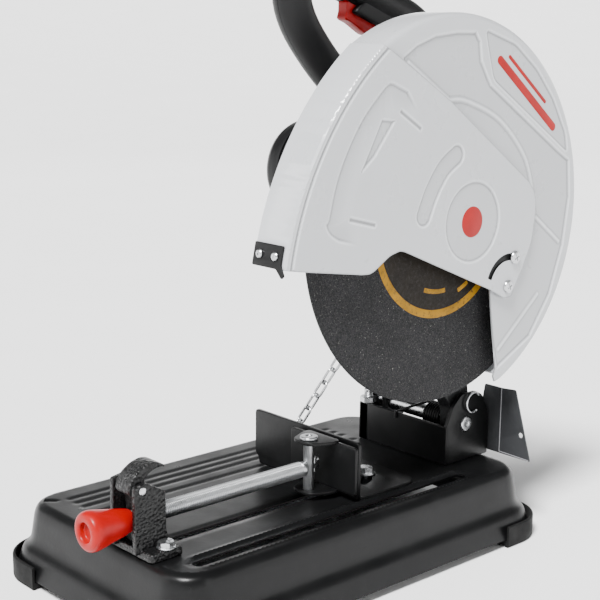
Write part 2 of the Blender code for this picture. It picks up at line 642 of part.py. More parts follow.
def make_motor():
    low, high = -0.0957, 0.0117
    inner, outer = MOTOR_R - 0.004, MOTOR_R
    tube = turned("X", MOTOR, [(inner, low), (outer, low), (outer, high), (inner, high)], 40)
    for way in (-1, 1):
        start, end = sorted((MOTOR[0] + way * 0.040, MOTOR[0] + way * 0.060))
        cut(tube, rod("Y", start, end, (BRUSH_X, MOTOR[1]), 0.0078, 16))
    finish(tube, "motor_housing", "black_plastic", "head")
    profile = [(0, -0.120), (0.041, -0.120), (0.048, -0.1175), (0.052, -0.112), (0.052, -0.0960)]
    profile += [(0.0475, -0.0960), (0.0475, -0.1110), (0.0140, -0.1155), (0.0140, -0.1050)]
    profile += [(0.0098, -0.1050), (0.0098, -0.1165), (0, -0.1165)]
    finish(turned("X", MOTOR, profile, 40), "motor_end_cover", "black_plastic", "head")
    stator = turned("X", MOTOR, [(0.0285, -0.064), (0.0475, -0.064), (0.0475, -0.006), (0.0285, -0.006)], 32)
    finish(stator, "stator", "steel", "head")
    for name, way in (("brush_holder_front", -1), ("brush_holder_rear", 1)):
        start, end = sorted((MOTOR[0] + way * 0.0135, MOTOR[0] + way * 0.0440))
        carbon = box((BRUSH_X - 0.003, start, MOTOR[1] - 0.003), (BRUSH_X + 0.003, end, MOTOR[1] + 0.003))
        start, end = sorted((MOTOR[0] + way * 0.0430, MOTOR[0] + way * 0.0525))
        join(carbon, rod("Y", start, end, (BRUSH_X, MOTOR[1]), 0.0075, 16))
        finish(carbon, name, "black_plastic", "head")


def grip_route():
    """The middle line of the D handle, through its own corners, as a smooth closed curve."""
    corners = [(0.096, 0.4425), (0.066, 0.466), (0.036, 0.494), (0.012, 0.524), (0.0035, 0.550)]
    corners += [(0.013, 0.569), (0.038, 0.5725), (0.074, 0.5605), (0.128, 0.5405), (0.166, 0.525)]
    corners += [(0.189, 0.504), (0.194, 0.476), (0.186, 0.4525), (0.160, 0.4415), (0.128, 0.4390)]
    points = []
    count = len(corners)
    for i in range(count):
        before, here, after, beyond = (Vector(corners[(i + k) % count]) for k in (-1, 0, 1, 2))
        for step in range(2):
            t = step / 2
            bend = 2 * here + (after - before) * t
            bend += (2 * before - 5 * here + 4 * after - beyond) * t**2
            bend += (3 * here - before - 3 * after + beyond) * t**3
            points.append((0.0, bend.x / 2, bend.y / 2))
    return points


def make_handle():
    for side, sign in (("left", -1), ("right", 1)):
        shell = wire(grip_route(), GRIP_R, 3, cyclic=True)
        hump = [(0.066, 0.5365), (0.126, 0.5145), (0.150, 0.530), (0.100, 0.556)]
        join(shell, plate("X", -0.014, 0.014, hump))
        cut(shell, rod("X", -0.1, 0.1, MOTOR, MOTOR_R + GAP, 48))
        pocket = [(0.0655, 0.5100), (0.1175, 0.5060), (0.1175, 0.5495), (0.090, 0.5560), (0.0655, 0.5560)]
        cut(shell, plate("X", -0.0072, 0.0072, pocket))
        cut(shell, box((-0.0085, 0.1170, 0.5230), (0.0085, 0.1460, 0.5450)))
        keep_x = sorted((sign * 0.00015, sign * 0.05))
        combine(shell, box((keep_x[0], -0.1, 0.35), (keep_x[1], 0.4, 0.70)), "INTERSECT")
        finish(shell, f"handle_shell_{side}", "black_plastic", "head")
    finish(box((-0.0082, 0.1180, 0.5233), (0.0082, 0.1457, 0.5447)), "switch", "black_plastic", "head")
    outline = [(0.0668, 0.5275), (0.0695, 0.5340), (0.0695, 0.5462), (0.0800, 0.5475), (0.1125, 0.5380)]
    outline += [(0.1128, 0.5236), (0.1071, 0.5120), (0.0985, 0.5120), (0.0890, 0.5172), (0.0780, 0.5235)]
    finish(plate("X", -0.0068, 0.0068, outline), "trigger", "red_plastic", "trigger_group")
    profile = [(0, 0.2140), (0.0085, 0.2140), (0.0085, 0.2230), (0.0065, 0.2330), (0, 0.2330)]
    finish(turned("Y", (0, 0.4700), profile, 16), "cord_gland", "rubber", "head")


def make_blade_case():
    """The fixed guard: back plate, rim and the rear half of its face, pressed from one sheet."""
    start, end = radians(-61), radians(122)
    rim = arc(CASE, CASE_R, start, end, 30)
    back = arc(CASE, CASE_R, start, end, 30) + arc(CASE, CASE_R - 0.005, end, radians(186), 10)
    back += [(-0.030, 0.312), (0.030, 0.296), (0.100, 0.283), (0.140, 0.268), (0.168, 0.235), (0.180, 0.178)]
    case = plate("X", CASE_X[0], CASE_X[0] + 0.0016, back, [circle(SPINDLE, 0.0230, 24)])
    band = rim + arc(CASE, CASE_R - 0.0016, end, start, 30)
    join(case, plate("X", CASE_X[0] + 0.0002, CASE_X[1] - 0.0002, band))
    face = rim + [(0.0165, 0.478), (0.062, 0.420), (0.107, 0.402), (0.150, 0.385), (0.168, 0.345)]
    face += [(0.166, 0.300), (0.165, 0.263), (0.177, 0.244), (0.183, 0.168)]
    join(case, plate("X", CASE_X[1] - 0.0016, CASE_X[1], face))
    finish(case, "blade_case", "white_paint", "head")
    screw_r = 0.0028
    for name, centre in (("cover_pivot_screw", COVER_PIVOT), ("cover_slot_screw", slot_point(0))):
        cut(case, rod("X", 0.11, 0.13, centre, screw_r + GAP, 12))
        piece = bolt("X", 0.1262, 0.1130, centre, 0.0068, screw_r, 0.0026, 20)
        finish(piece, name, "zinc_steel", "head")


def slot_point(turn):
    angle = COVER_SLOT_START + turn
    return (COVER_PIVOT[0] + COVER_SLOT_R * cos(angle), COVER_PIVOT[1] + COVER_SLOT_R * sin(angle))


def make_guard_cover():
    """The cover that swings up to reach the wheel: a flat side plate with a band across its front."""
    arc_in = arc(COVER_PIVOT, COVER_ARC_R, *COVER_ARC, 14)
    side = arc_in + [(0.0297, 0.4908), (0.0936, 0.4534), (0.214, 0.371), (0.222, 0.362), (0.2264, 0.351)]
    side += [(0.2263, 0.3356), (0.222, 0.309), (0.209, 0.2825), (0.1995, 0.2685), (0.1935, 0.2565)]
    side += [(0.1820, 0.2560), (0.1599, 0.2676), (0.036, 0.3188), (0.0293, 0.3207), (0.016, 0.3175)]
    side += [(-0.0034, 0.3057), (-0.0097, 0.3035), (-0.0194, 0.3042), (-0.0843, 0.3142)]
    half_width, spare = 0.0036, 0.13
    start, end = COVER_SLOT_START - spare, COVER_SLOT_START + COVER_SWING + spare
    slot = arc(COVER_PIVOT, COVER_SLOT_R + half_width, start, end, 12)
    slot += arc(COVER_PIVOT, COVER_SLOT_R - half_width, end, start, 12)
    low = CASE_X[1] + 0.0004
    cover = plate("X", low, low + 0.0016, side, [circle(COVER_PIVOT, 0.0033, 12), slot])
    band = arc_in + arc(COVER_PIVOT, COVER_ARC_R - 0.0016, COVER_ARC[1], COVER_ARC[0], 14)
    join(cover, plate("X", 0.081, low + 0.0012, band))
    finish(cover, "guard_cover", "white_paint", "cover")


def make_deflector():
    """The small plate screwed on the band's lower end. It leans back with the band."""
    angle = radians(168.3)
    radius = COVER_ARC_R + GAP
    middle = Vector((0, COVER_PIVOT[0] + radius * cos(angle), COVER_PIVOT[1] + radius * sin(angle)))
    lean = Matrix.Rotation(angle - pi, 3, "X")
    outline = [(0.081, 0.010), (0.118, 0.010), (0.118, -0.007), (0.124, -0.015), (0.121, -0.018)]
    outline += [(0.112, -0.0105), (0.081, -0.0105)]
    screws = ((0.0895, 0.0), (0.1095, 0.0))
    piece = plate("Y", -0.0016, 0, outline, [circle(place, 0.0025, 10) for place in screws])
    piece.location = middle + lean @ Vector((0, -0.0008, 0))
    piece.rotation_euler.x += angle - pi
    finish(piece, "deflector_plate", "black_paint", "cover")
    for name, (x, up) in zip(("deflector_screw_left", "deflector_screw_right"), screws):
        head = rod("Y", -0.0022 - 0.0016 - GAP, -0.0016 - GAP, (0, 0), 0.0040, 16)
        join(head, rod("Y", -0.0025, 0.0060, (0, 0), 0.0019, 10))
        hole = rod("Y", -0.01, 0.012, (0, 0), 0.0022, 10)
        for turned_piece in (head, *(m.object for m in head.modifiers), hole):
            offset = Vector(turned_piece.location)
            turned_piece.location = middle + lean @ Vector((x, offset.y, up))
            turned_piece.rotation_euler.x += angle - pi
        cut(bpy.data.objects["guard_cover"], hole)
        finish(head, name, "zinc_steel", "cover")


def make_spindle_group():
    low, high = WHEEL_X - WHEEL_THICK / 2, WHEEL_X + WHEEL_THICK / 2
    profile = [(0, 0.0269), (0.0045, 0.0269), (0.0045, 0.0375), (0.0080, 0.0375), (0.0080, 0.0850)]
    profile += [(0.0110, 0.0850), (0.0110, 0.0905), (0.0080, 0.0905), (0.0080, high + 0.001)]
    profile += [(0.0046, high + 0.001), (0.0046, 0.0880), (0, 0.0880)]
    finish(turned("X", SPINDLE, profile, 20), "spindle", "steel", "spindle_group")
    bore, seat = 0.0083, 0.0124
    inner = [(bore, 0.0908), (0.018, 0.0908), (0.040, 0.0958), (0.040, low - GAP), (0.034, low - GAP)]
    inner += [(0.034, low - 0.0013), (bore, low - 0.0013)]
    finish(turned("X", SPINDLE, inner, 32), "inner_flange", "steel", "spindle_group")
    wheel = [(seat, low), (WHEEL_R, low), (WHEEL_R, high), (seat, high)]
    finish(turned("X", SPINDLE, wheel, 64), "abrasive_disc", "abrasive", "spindle_group")
    outer = [(bore, high + 0.0013), (0.034, high + 0.0013), (0.034, high + GAP), (0.040, high + GAP)]
    outer += [(0.040, high + 0.0035), (0.020, high + 0.0060), (bore, high + 0.0060)]
    finish(turned("X", SPINDLE, outer, 32), "outer_flange", "steel", "spindle_group")
    piece = bolt("X", high + 0.0125, 0.0900, SPINDLE, 0.0085, 0.0043, 0.0060, 6)
    finish(piece, "disc_bolt", "zinc_steel", "spindle_group")


def make_spindle_lock():
    profile = [(0, 0.0500), (0.0085, 0.0500), (0.0085, 0.0560), (0.0040, 0.0560)]
    profile += [(0.0040, 0.0775), (0, 0.0775)]
    lock = turned("Y", (0.0625, SPINDLE[1]), profile, 14)
    finish(lock, "spindle_lock", "black_plastic", "lock_group")


def make_return_spring():
    """The torsion spring on the pivot shaft. One leg reaches over the bracket's front wall."""
    turns, per_turn, radius, pitch, start = 7, 12, 0.0130, 0.0032, 0.0225
    route = [(0.0030, 0.1560, 0.1085), (0.0030, 0.1560, 0.1160)]
    route += [(0.0215, PIVOT[0] - 0.006, PIVOT[1] + radius)]
    for i in range(turns * per_turn + 1):
        angle = pi / 2 - i * CIRCLE / per_turn
        y, z = PIVOT[0] + radius * cos(angle), PIVOT[1] + radius * sin(angle)
        route.append((start + pitch * i / per_turn, y, z))
    x, y, z = route[-1]
    route.append((x + 0.0015, y + 0.009, z + 0.001))
    finish(wire(route, 0.0014, 1), "return_spring", "black_paint", "base")


def make_chain():
    """Two straight halves of the slack chain. They fold at the middle as the head comes down."""
    foot, top = Vector(CHAIN_FOOT), Vector(CHAIN_HEAD)
    middle = (foot + top) / 2
    way = (top - foot).normalized()
    lower = wire([foot + way * 0.001, middle - way * 0.0005], 0.0030, 1)
    finish(lower, "chain_lower", "zinc_steel", "chain_foot_group")
    upper = wire([middle + way * 0.0005, top - way * 0.001], 0.0030, 1)
    finish(upper, "chain_upper", "zinc_steel", "chain_top_group")


def main():
    make_pivots()
    make_base_pan()
    make_feet()
    make_vise_bracket()
    make_nut_lever()
    make_fence()
    make_jaw()
    make_vise_screw()
    make_pivot_bracket()
    make_spark_guard()
    make_gear_housing()
    make_bearing_plate()
    make_bearings()
    make_gears()
    make_motor()
    make_handle()
    make_blade_case()
    make_guard_cover()
    make_deflector()
    make_spindle_group()
    make_spindle_lock()
    make_return_spring()
    make_chain()


main()
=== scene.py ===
"""The abrasive chop saw as it looks: its pieces, finishes, pale studio and camera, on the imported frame."""

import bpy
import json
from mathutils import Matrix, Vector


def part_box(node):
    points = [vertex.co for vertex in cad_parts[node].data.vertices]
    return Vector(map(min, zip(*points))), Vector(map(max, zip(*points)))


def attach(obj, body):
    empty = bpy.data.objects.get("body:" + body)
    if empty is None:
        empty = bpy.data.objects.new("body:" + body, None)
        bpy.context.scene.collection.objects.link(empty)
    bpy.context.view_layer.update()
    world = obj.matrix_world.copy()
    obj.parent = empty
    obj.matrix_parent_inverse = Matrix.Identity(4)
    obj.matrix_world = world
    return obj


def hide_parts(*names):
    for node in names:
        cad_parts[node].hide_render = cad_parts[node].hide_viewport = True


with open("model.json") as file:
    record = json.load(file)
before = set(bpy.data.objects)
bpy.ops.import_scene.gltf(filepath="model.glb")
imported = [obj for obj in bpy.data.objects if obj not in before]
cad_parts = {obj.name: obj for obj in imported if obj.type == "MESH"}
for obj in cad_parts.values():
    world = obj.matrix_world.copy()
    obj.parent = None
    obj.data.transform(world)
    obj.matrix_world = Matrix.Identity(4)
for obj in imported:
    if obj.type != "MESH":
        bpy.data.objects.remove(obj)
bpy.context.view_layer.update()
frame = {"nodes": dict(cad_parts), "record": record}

import json
from math import atan2, cos, hypot, pi, radians, sin

import bmesh
import bpy
import numpy as np
from mathutils import Matrix, Vector
from mathutils.geometry import delaunay_2d_cdt

# Metres from the middle of the base; the frame's own pan says how far that lies from the origin.
SHIFT = Vector((0, (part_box("base_pan")[0][1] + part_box("base_pan")[1][1]) / 2, 0))
CIRCLE = 2 * pi
GAP = 0.0003

BASE_HALF = (0.146, 0.2415)
FOOT_HALF = (0.149, 0.2445)
TABLE_Z = 0.072
FLOOR = TABLE_Z + GAP
WHEEL_SLOT = ((0.102, -0.1885), (0.102, 0.1495))
CENTRE_SLOT = ((0.046, -0.1735), (0.046, 0.0055))
SCREW_X, SCREW_Z, SCREW_R = 0.046, 0.102, 0.008
SCREW_LINE = (SCREW_X, SCREW_Z)
SCREW_PITCH, SCREW_DEPTH, SCREW_STARTS = 0.002, 0.0013, 2
JAW_PIN_Y = -0.01
HANDLE_END_Y = -0.266
BRACKET_BOLTS = ((0.0188, -0.201), (0.0732, -0.201))
LEVER_AXIS = (-0.219, 0.133)
FENCE_PIVOT = (0.03, 0.042)
FENCE_LOCK = (0.045, 0.07)
FENCE_TURN = radians(45)
PIVOT = (0.19, 0.112)
SPINDLE = (0.1076, 0.3382)
LOCK = (0.0625, SPINDLE[1])
MOTOR = (0.123, 0.3706)
MOTOR_R = 0.052
BRUSH_X = -0.0845
WHEEL_X, WHEEL_R, WHEEL_THICK = 0.102, 0.1775, 0.0032
CASE = (0.1072, 0.3434)
CASE_R = 0.191
CASE_LOW, CASE_FACE = 0.078, 0.121
COVER_PIVOT = (0.1869, 0.2677)
COVER_ARC_R = 0.3015
COVER_ARC = (radians(170.3), radians(127.8))
COVER_LOW, COVER_FACE = 0.081, 0.123
SPOT_CENTRE = (0.13, 0.338)
COVER_SLOT_R, COVER_SLOT_START, COVER_SWING = 0.03, radians(72.3), radians(80)
GRIP_R = 0.0185
CROWN_FROM, CROWN_PRESS = 0.57, 0.08
HEAD_TRAVEL = radians(38)
HUB_WINDOW = (-0.031, 0.048)
STOP_BOLT, STOP_TOP = (-0.047, 0.165), 0.13
CHAIN_FOOT = Vector((-0.074, 0.065, 0.0765))
CHAIN_HEAD = Vector((-0.03, 0.14, 0.215))

PAN_SHEET, GUARD_SHEET, COVER_SHEET = 0.0022, 0.0014, 0.0007
GUARD_GRID = 0.0014
# The point layer that carries painted relief shade and painted highlight for the white paint.
RELIEF_SHADE_LAYER = "relief_shade"
GRAIN = 1150  # the wheel's grains per metre, as a texture scale


# ---------------------------------------------------------------- finishes


class Nodes:
    """A material's node tree, with short ways to add what the finishes use."""

    def __init__(self, name):
        self.material = bpy.data.materials.new(name)
        self.material.use_nodes = True
        self.tree = self.material.node_tree
        self.shader = self.tree.nodes["Principled BSDF"]
        self.place = self.add("ShaderNodeTexCoord").outputs["Object"]

    def add(self, kind, inputs=(), **settings):
        """A node with these settings. An input's value is a constant, or a socket to link."""
        node = self.tree.nodes.new(kind)
        for key, value in settings.items():
            setattr(node, key, value)
        for key, value in dict(inputs).items():
            if isinstance(value, bpy.types.NodeSocket):
                self.link(value, node.inputs[key])
            else:
                node.inputs[key].default_value = value
        return node

    def link(self, source, target):
        self.tree.links.new(source, target)

    def stretch(self, scale):
        return self.add("ShaderNodeMapping", {"Scale": scale, "Vector": self.place}).outputs["Vector"]

    def noise(self, scale, detail=3.0, vector=None, rough=0.55):
        inputs = {"Scale": scale, "Detail": detail, "Roughness": rough, "Vector": vector or self.place}
        return self.add("ShaderNodeTexNoise", inputs).outputs["Fac"]

    def cells(self, scale, output="Color"):
        return self.add("ShaderNodeTexVoronoi", {"Scale": scale, "Vector": self.place}).outputs[output]

    def ramp(self, source, stops):
        node = self.add("ShaderNodeValToRGB", {"Fac": source})
        elements = node.color_ramp.elements
        while len(elements) < len(stops):
            elements.new(0.5)
        for element, (place, colour) in zip(elements, stops):
            element.position = place
            element.color = (*colour, 1)
        return node.outputs["Color"]

    def clouds(self, source, colour, dark, light, low=0.3, high=0.7):
        """A colour that varies between a darker and a lighter shade of itself."""
        return self.ramp(source, [(low, shade(colour, dark)), (high, shade(colour, light))])

    def between(self, source, low, high, start=0.3, end=0.7):
        inputs = {"Value": source, "From Min": start, "From Max": end, "To Min": low, "To Max": high}
        return self.add("ShaderNodeMapRange", inputs).outputs["Result"]

    def mix(self, factor, first, second, blend="MIX"):
        if isinstance(second, tuple):
            second = (*second, 1)
        inputs = {0: factor, 6: first, 7: second}
        return self.add("ShaderNodeMix", inputs, data_type="RGBA", blend_type=blend).outputs[2]

    def bump(self, heights):
        """Stacks bumps, coarse first. Each is (height, strength, distance)."""
        last = None
        for height, strength, distance in heights:
            inputs = {"Strength": strength, "Distance": distance, "Height": height}
            if last:
                inputs["Normal"] = last
            last = self.add("ShaderNodeBump", inputs).outputs["Normal"]
        self.link(last, self.shader.inputs["Normal"])

    def set(self, **values):
        for key, value in values.items():
            self.shader.inputs[key.replace("_", " ")].default_value = value

    def colour(self, source):
        self.link(source, self.shader.inputs["Base Color"])

    def roughness(self, source):
        self.link(source, self.shader.inputs["Roughness"])


def shade(colour, factor):
    return tuple(min(1.0, part * factor) for part in colour)


def paint(name, colour, rough, spread, peel, dust=0.0, coat=0.0, gloss=0.2, folded=False):
    """Powder coat: a soft orange peel, faint clouding, and a little dull dust on dark coats."""
    made = Nodes(name)
    cloud = made.clouds(made.noise(9, 4), colour, 1 - spread, 1 + spread)
    if dust:
        haze = made.ramp(made.noise(38, 8, rough=0.7), [(0.5, (0, 0, 0)), (0.78, (1, 1, 1))])
        cloud = made.mix(haze, cloud, shade(colour, 1 + dust))
    if folded:
        # Painted shade and highlight: this layer halves the colour at relief feet, in recesses and along cut
        # edges, and raises it by half at relief lips.
        relief_shade = made.add("ShaderNodeAttribute", attribute_name=RELIEF_SHADE_LAYER).outputs["Fac"]
        cloud = made.mix(1.0, cloud, made.between(relief_shade, 1.5, 0.5, -1, 1), "MULTIPLY")
    made.colour(cloud)
    made.roughness(made.between(made.noise(26, 6), rough - 0.07, rough + 0.1))
    made.bump([(made.noise(260, 2), peel, 0.0004), (made.noise(1400, 3), peel * 0.8, 0.00012)])
    made.set(Metallic=0.0, Specular_IOR_Level=gloss, Coat_Weight=coat, Coat_Roughness=0.12)
    return made.material


def casting(name, colour, rough, metallic, pits):
    """A sand or die casting under thin paint: coarse pits, and edges where grain catches the light."""
    made = Nodes(name)
    grain = made.noise(420, 6, rough=0.65)
    made.colour(made.ramp(grain, [(0.3, shade(colour, 0.55)), (0.52, colour), (0.75, shade(colour, 2.1))]))
    made.roughness(made.between(made.noise(60, 5), rough - 0.12, rough + 0.15))
    made.bump([(made.cells(330, "Distance"), pits, 0.0011), (grain, pits, 0.0005)])
    made.set(Metallic=metallic, Specular_IOR_Level=0.4)
    return made.material


def plastic(name, colour, rough, grain, clear=0.0):
    made = Nodes(name)
    made.colour(made.clouds(made.noise(55, 5), colour, 0.86, 1.14))
    made.roughness(made.between(made.noise(18, 5), rough - 0.05, rough + 0.09))
    made.bump([(made.noise(2300, 2), grain, 0.00012), (made.cells(1500, "Distance"), grain * 0.6, 0.00008)])
    made.set(Metallic=0.0, Specular_IOR_Level=0.22, Coat_Weight=clear, Coat_Roughness=0.08)
    return made.material


def rubber(name, colour):
    made = Nodes(name)
    made.colour(made.clouds(made.noise(120, 7), colour, 0.8, 1.7, high=0.75))
    made.roughness(made.between(made.noise(70, 4), 0.62, 0.86))
    made.bump([(made.noise(180, 4), 0.25, 0.0006), (made.noise(2600, 2), 0.35, 0.0001)])
    made.set(Metallic=0.0, Specular_IOR_Level=0.15, Sheen_Weight=0.02, Sheen_Roughness=0.5)
    return made.material


def metal(name, colour, rough, streaks, stretch):
    """Turned or plated metal: fine tool lines along one direction, and small clouds in the plating."""
    made = Nodes(name)
    lines = made.noise(900, 3, made.stretch(stretch))
    spots = made.noise(160, 6, rough=0.7)
    tint = made.ramp(spots, [(0.32, shade(colour, 0.86)), (0.6, colour), (0.8, shade(colour, 1.06))])
    made.colour(made.mix(0.25, tint, made.clouds(lines, colour, 0.8, 1)))
    made.roughness(made.between(spots, rough - 0.04, rough + 0.08))
    made.bump([(spots, 0.03, 0.0002), (lines, streaks, 0.00008)])
    made.set(Metallic=1.0)
    return made.material


def grit(name):
    """Bonded abrasive: dark resin with grains of two sizes, a few of them glinting, and moulded ripples."""
    made = Nodes(name)
    stops = [(0, (0.004, 0.004, 0.0044)), (0.46, (0.009, 0.009, 0.01)), (0.72, (0.02, 0.02, 0.022))]
    stops += [(0.9, (0.045, 0.044, 0.042)), (1, (0.2, 0.195, 0.185))]
    grains = made.ramp(made.cells(GRAIN), stops)
    dust = made.ramp(made.noise(1900, 2), [(0.35, (0.45, 0.45, 0.45)), (0.7, (1.5, 1.5, 1.5))])
    clouds = made.ramp(made.noise(34, 5), [(0.3, (0.8, 0.8, 0.8)), (0.7, (1.2, 1.2, 1.2))])
    made.colour(made.mix(1.0, made.mix(1.0, grains, dust, "MULTIPLY"), clouds, "MULTIPLY"))
    made.roughness(made.between(made.cells(GRAIN, "Distance"), 0.35, 0.85, 0.0, 0.6))
    made.bump([(made.noise(110, 3), 0.25, 0.0012), (made.cells(GRAIN, "Distance"), 0.8, 0.0006)])
    made.set(Metallic=0.0, Specular_IOR_Level=0.25)
    return made.material


def windings(name):
    made = Nodes(name)
    inputs = {"Scale": 420, "Distortion": 1.5, "Vector": made.place}
    wave = made.add("ShaderNodeTexWave", inputs, bands_direction="X").outputs["Fac"]
    made.colour(made.ramp(wave, [(0.2, (0.24, 0.09, 0.035)), (0.8, (0.62, 0.3, 0.14))]))
    made.roughness(made.between(made.noise(90), 0.3, 0.5))
    made.bump([(wave, 0.6, 0.0004)])
    made.set(Metallic=1.0)
    return made.material


def print_ink(name, colour):
    """Ink on the wheel's paper label: uneven over the grain below, and rubbed through in places."""
    made = Nodes(name)
    rubbed = made.ramp(made.noise(240, 8, rough=0.75), [(0.52, (0, 0, 0)), (0.66, (1, 1, 1))])
    cloudy = made.clouds(made.noise(60, 5), colour, 0.75, 1.25)
    made.colour(made.mix(rubbed, cloudy, (0.02, 0.018, 0.016)))
    made.roughness(made.between(made.noise(300), 0.35, 0.6))
    made.bump([(made.cells(GRAIN, "Distance"), 0.35, 0.0004), (made.noise(120, 3), 0.3, 0.001)])
    made.set(Metallic=0.0, Specular_IOR_Level=0.12)
    return made.material


FINISH = {
    # The white paint carries painted relief shade and highlight (folded=True).
    "white_paint": paint(
        "white_paint", (0.44, 0.45, 0.465), 0.3, 0.012, 0.05, coat=0.5, gloss=0.5, folded=True
    ),
    "black_paint": paint("black_paint", (0.0032, 0.0033, 0.0035), 0.34, 0.12, 0.16, dust=0.7),
    "grey_paint": paint("grey_paint", (0.03, 0.031, 0.033), 0.34, 0.12, 0.16, dust=0.3),
    # A lighter grey for the spark sheet's lip: a painted highlight along its bend.
    "painted_bend_highlight": paint("painted_bend_highlight", (0.2, 0.2, 0.21), 0.4, 0.1, 0.1),
    "cast_black": casting("cast_black", (0.004, 0.004, 0.0042), 0.34, 0.1, 1.0),
    "cast_aluminium": casting("cast_aluminium", (0.012, 0.0125, 0.013), 0.5, 0.35, 0.22),
    "black_plastic": plastic("black_plastic", (0.004, 0.004, 0.0043), 0.42, 0.3),
    "red_plastic": plastic("red_plastic", (0.3, 0.0003, 0.0006), 0.36, 0.05, clear=0.04),
    "rubber": rubber("rubber", (0.0035, 0.0035, 0.0035)),
    "zinc_steel": metal("zinc_steel", (0.6, 0.61, 0.62), 0.26, 0.12, (1, 1, 9)),
    "bright_steel": metal("bright_steel", (0.52, 0.53, 0.54), 0.3, 0.01, (1, 1, 1)),
    "steel": metal("steel", (0.28, 0.28, 0.29), 0.36, 0.3, (9, 1, 1)),
    "abrasive": grit("abrasive"),
    "copper": windings("copper"),
    "gold_print": print_ink("gold_print", (0.3, 0.15, 0.006)),
    "label_paper": print_ink("label_paper", (0.008, 0.0055, 0.003)),
}
SLOT_OF = {  # the finishes that share another one's slot
    "gold_print": "abrasive", "label_paper": "abrasive", "bright_steel": "zinc_steel",
    "grey_paint": "black_paint", "painted_bend_highlight": "black_paint",
}


# ---------------------------------------------------------------- outlines


def on_circle(centre, radius, angle):
    return (centre[0] + radius * cos(angle), centre[1] + radius * sin(angle))


def arc(centre, radius, start, end, steps):
    return [on_circle(centre, radius, start + (end - start) * i / steps) for i in range(steps + 1)]


def arc_band(centre, radius, half_width, start, end, steps):
    """The outline of a band that follows an arc."""
    inner = arc(centre, radius - half_width, end, start, steps)
    return arc(centre, radius + half_width, start, end, steps) + inner


def rectangle(left, low, right, high):
    return [(left, low), (right, low), (right, high), (left, high)]


def circle(centre, radius, steps=32):
    return arc(centre, radius, 0, CIRCLE, steps)[:-1]


def stadium(start, end, radius, steps=10):
    heading = atan2(end[1] - start[1], end[0] - start[0])
    far = arc(end, radius, heading - pi / 2, heading + pi / 2, steps)
    return far + arc(start, radius, heading + pi / 2, heading + 3 * pi / 2, steps)


def rounded_rectangle(half_x, half_y, radius, steps=10):
    points = []
    for quarter in range(4):
        sign_x = 1 if quarter in (0, 3) else -1
        sign_y = 1 if quarter in (0, 1) else -1
        centre = (sign_x * (half_x - radius), sign_y * (half_y - radius))
        points += arc(centre, radius, quarter * pi / 2, (quarter + 1) * pi / 2, steps)
    return points


def rounded(points, radius, steps=3, cyclic=True, least=0.12):
    """The same line with its corners rounded, each by at most radius and by under half of its sides."""
    result = []
    count = len(points)
    for i, here in enumerate(points):
        here = Vector(here)
        if not cyclic and i in (0, count - 1):
            result.append(tuple(here))
            continue
        before, after = Vector(points[i - 1]) - here, Vector(points[(i + 1) % count]) - here
        bend = pi - before.angle(after, pi)
        if bend < least:
            result.append(tuple(here))
            continue
        start = here + before.normalized() * min(radius, before.length * 0.45)
        end = here + after.normalized() * min(radius, after.length * 0.45)
        for step in range(steps + 1):
            t = step / steps
            result.append(tuple(start * (1 - t) ** 2 + here * (2 * t * (1 - t)) + end * t**2))
    return result


def flowing(corners, steps, cyclic=False):
    """A smooth curve through all the corners."""
    points = [Vector(corner) for corner in corners]
    count = len(points)
    result = []
    for i in range(count if cyclic else count - 1):
        near = [(i + k) % count if cyclic else min(max(i + k, 0), count - 1) for k in (-1, 0, 1, 2)]
        before, here, after, beyond = (points[k] for k in near)
        for step in range(steps):
            t = step / steps
            bend = 2 * here + (after - before) * t + (2 * before - 5 * here + 4 * after - beyond) * t**2
            result.append((bend + (3 * here - before - 3 * after + beyond) * t**3) / 2)
    if not cyclic:
        result.append(points[-1])
    return [tuple(point) for point in result]


# ---------------------------------------------------------------- solids

PLATE_TURN = {
    "X": Matrix(((0, 0, 1, 0), (1, 0, 0, 0), (0, 1, 0, 0), (0, 0, 0, 1))),
    "Y": Matrix(((1, 0, 0, 0), (0, 0, -1, 0), (0, 1, 0, 0), (0, 0, 0, 1))),
    "Z": Matrix.Identity(4),
}
ROD_TURN = {
    "X": Matrix.Rotation(pi / 2, 4, "Y"),
    "Y": Matrix.Rotation(-pi / 2, 4, "X"),
    "Z": Matrix.Identity(4),
}


def at(axis, value, across=(0, 0)):
    place = list(across)
    place.insert("XYZ".index(axis), value)
    return Vector(place)


def new_object(name, data):
    obj = bpy.data.objects.new(name, data)
    bpy.context.scene.collection.objects.link(obj)
    return obj


def drop(obj):
    data = obj.data
    bpy.data.objects.remove(obj)
    if isinstance(data, bpy.types.Mesh):
        bpy.data.meshes.remove(data)
    else:
        bpy.data.curves.remove(data)


def plain_object(maker):
    mesh = bpy.data.meshes.new("solid")
    maker.to_mesh(mesh)
    maker.free()
    return new_object("solid", mesh)


def from_maker(maker, turn=None):
    """A mesh object from a bmesh, welded, facing out, and turned into place."""
    bmesh.ops.remove_doubles(maker, verts=maker.verts, dist=1e-6)
    bmesh.ops.recalc_face_normals(maker, faces=maker.faces)
    if turn:
        maker.transform(turn)
    return plain_object(maker)


def banded(maker, rings, cyclic=False):
    """Faces between each ring of points and the next one."""
    for lower, upper in zip(rings, rings[1:] + (rings[:1] if cyclic else [])):
        for i in range(len(lower)):
            j = (i + 1) % len(lower)
            corners = list(dict.fromkeys((lower[i], lower[j], upper[j], upper[i])))
            if len(corners) > 2:
                maker.faces.new(corners)


def placed(maker, axis, centre):
    """A shape made along Z, set along this axis at this centre."""
    return from_maker(maker, Matrix.Translation(at(axis, 0, centre)) @ ROD_TURN[axis])


def settled(obj, turn=None):
    """The object as its modifiers or its curve make it, as a plain mesh."""
    bpy.context.view_layer.update()
    graph = bpy.context.evaluated_depsgraph_get()
    mesh = bpy.data.meshes.new_from_object(obj.evaluated_get(graph))
    maker = bmesh.new()
    maker.from_mesh(mesh)
    bpy.data.meshes.remove(mesh)
    drop(obj)
    return from_maker(maker, turn)


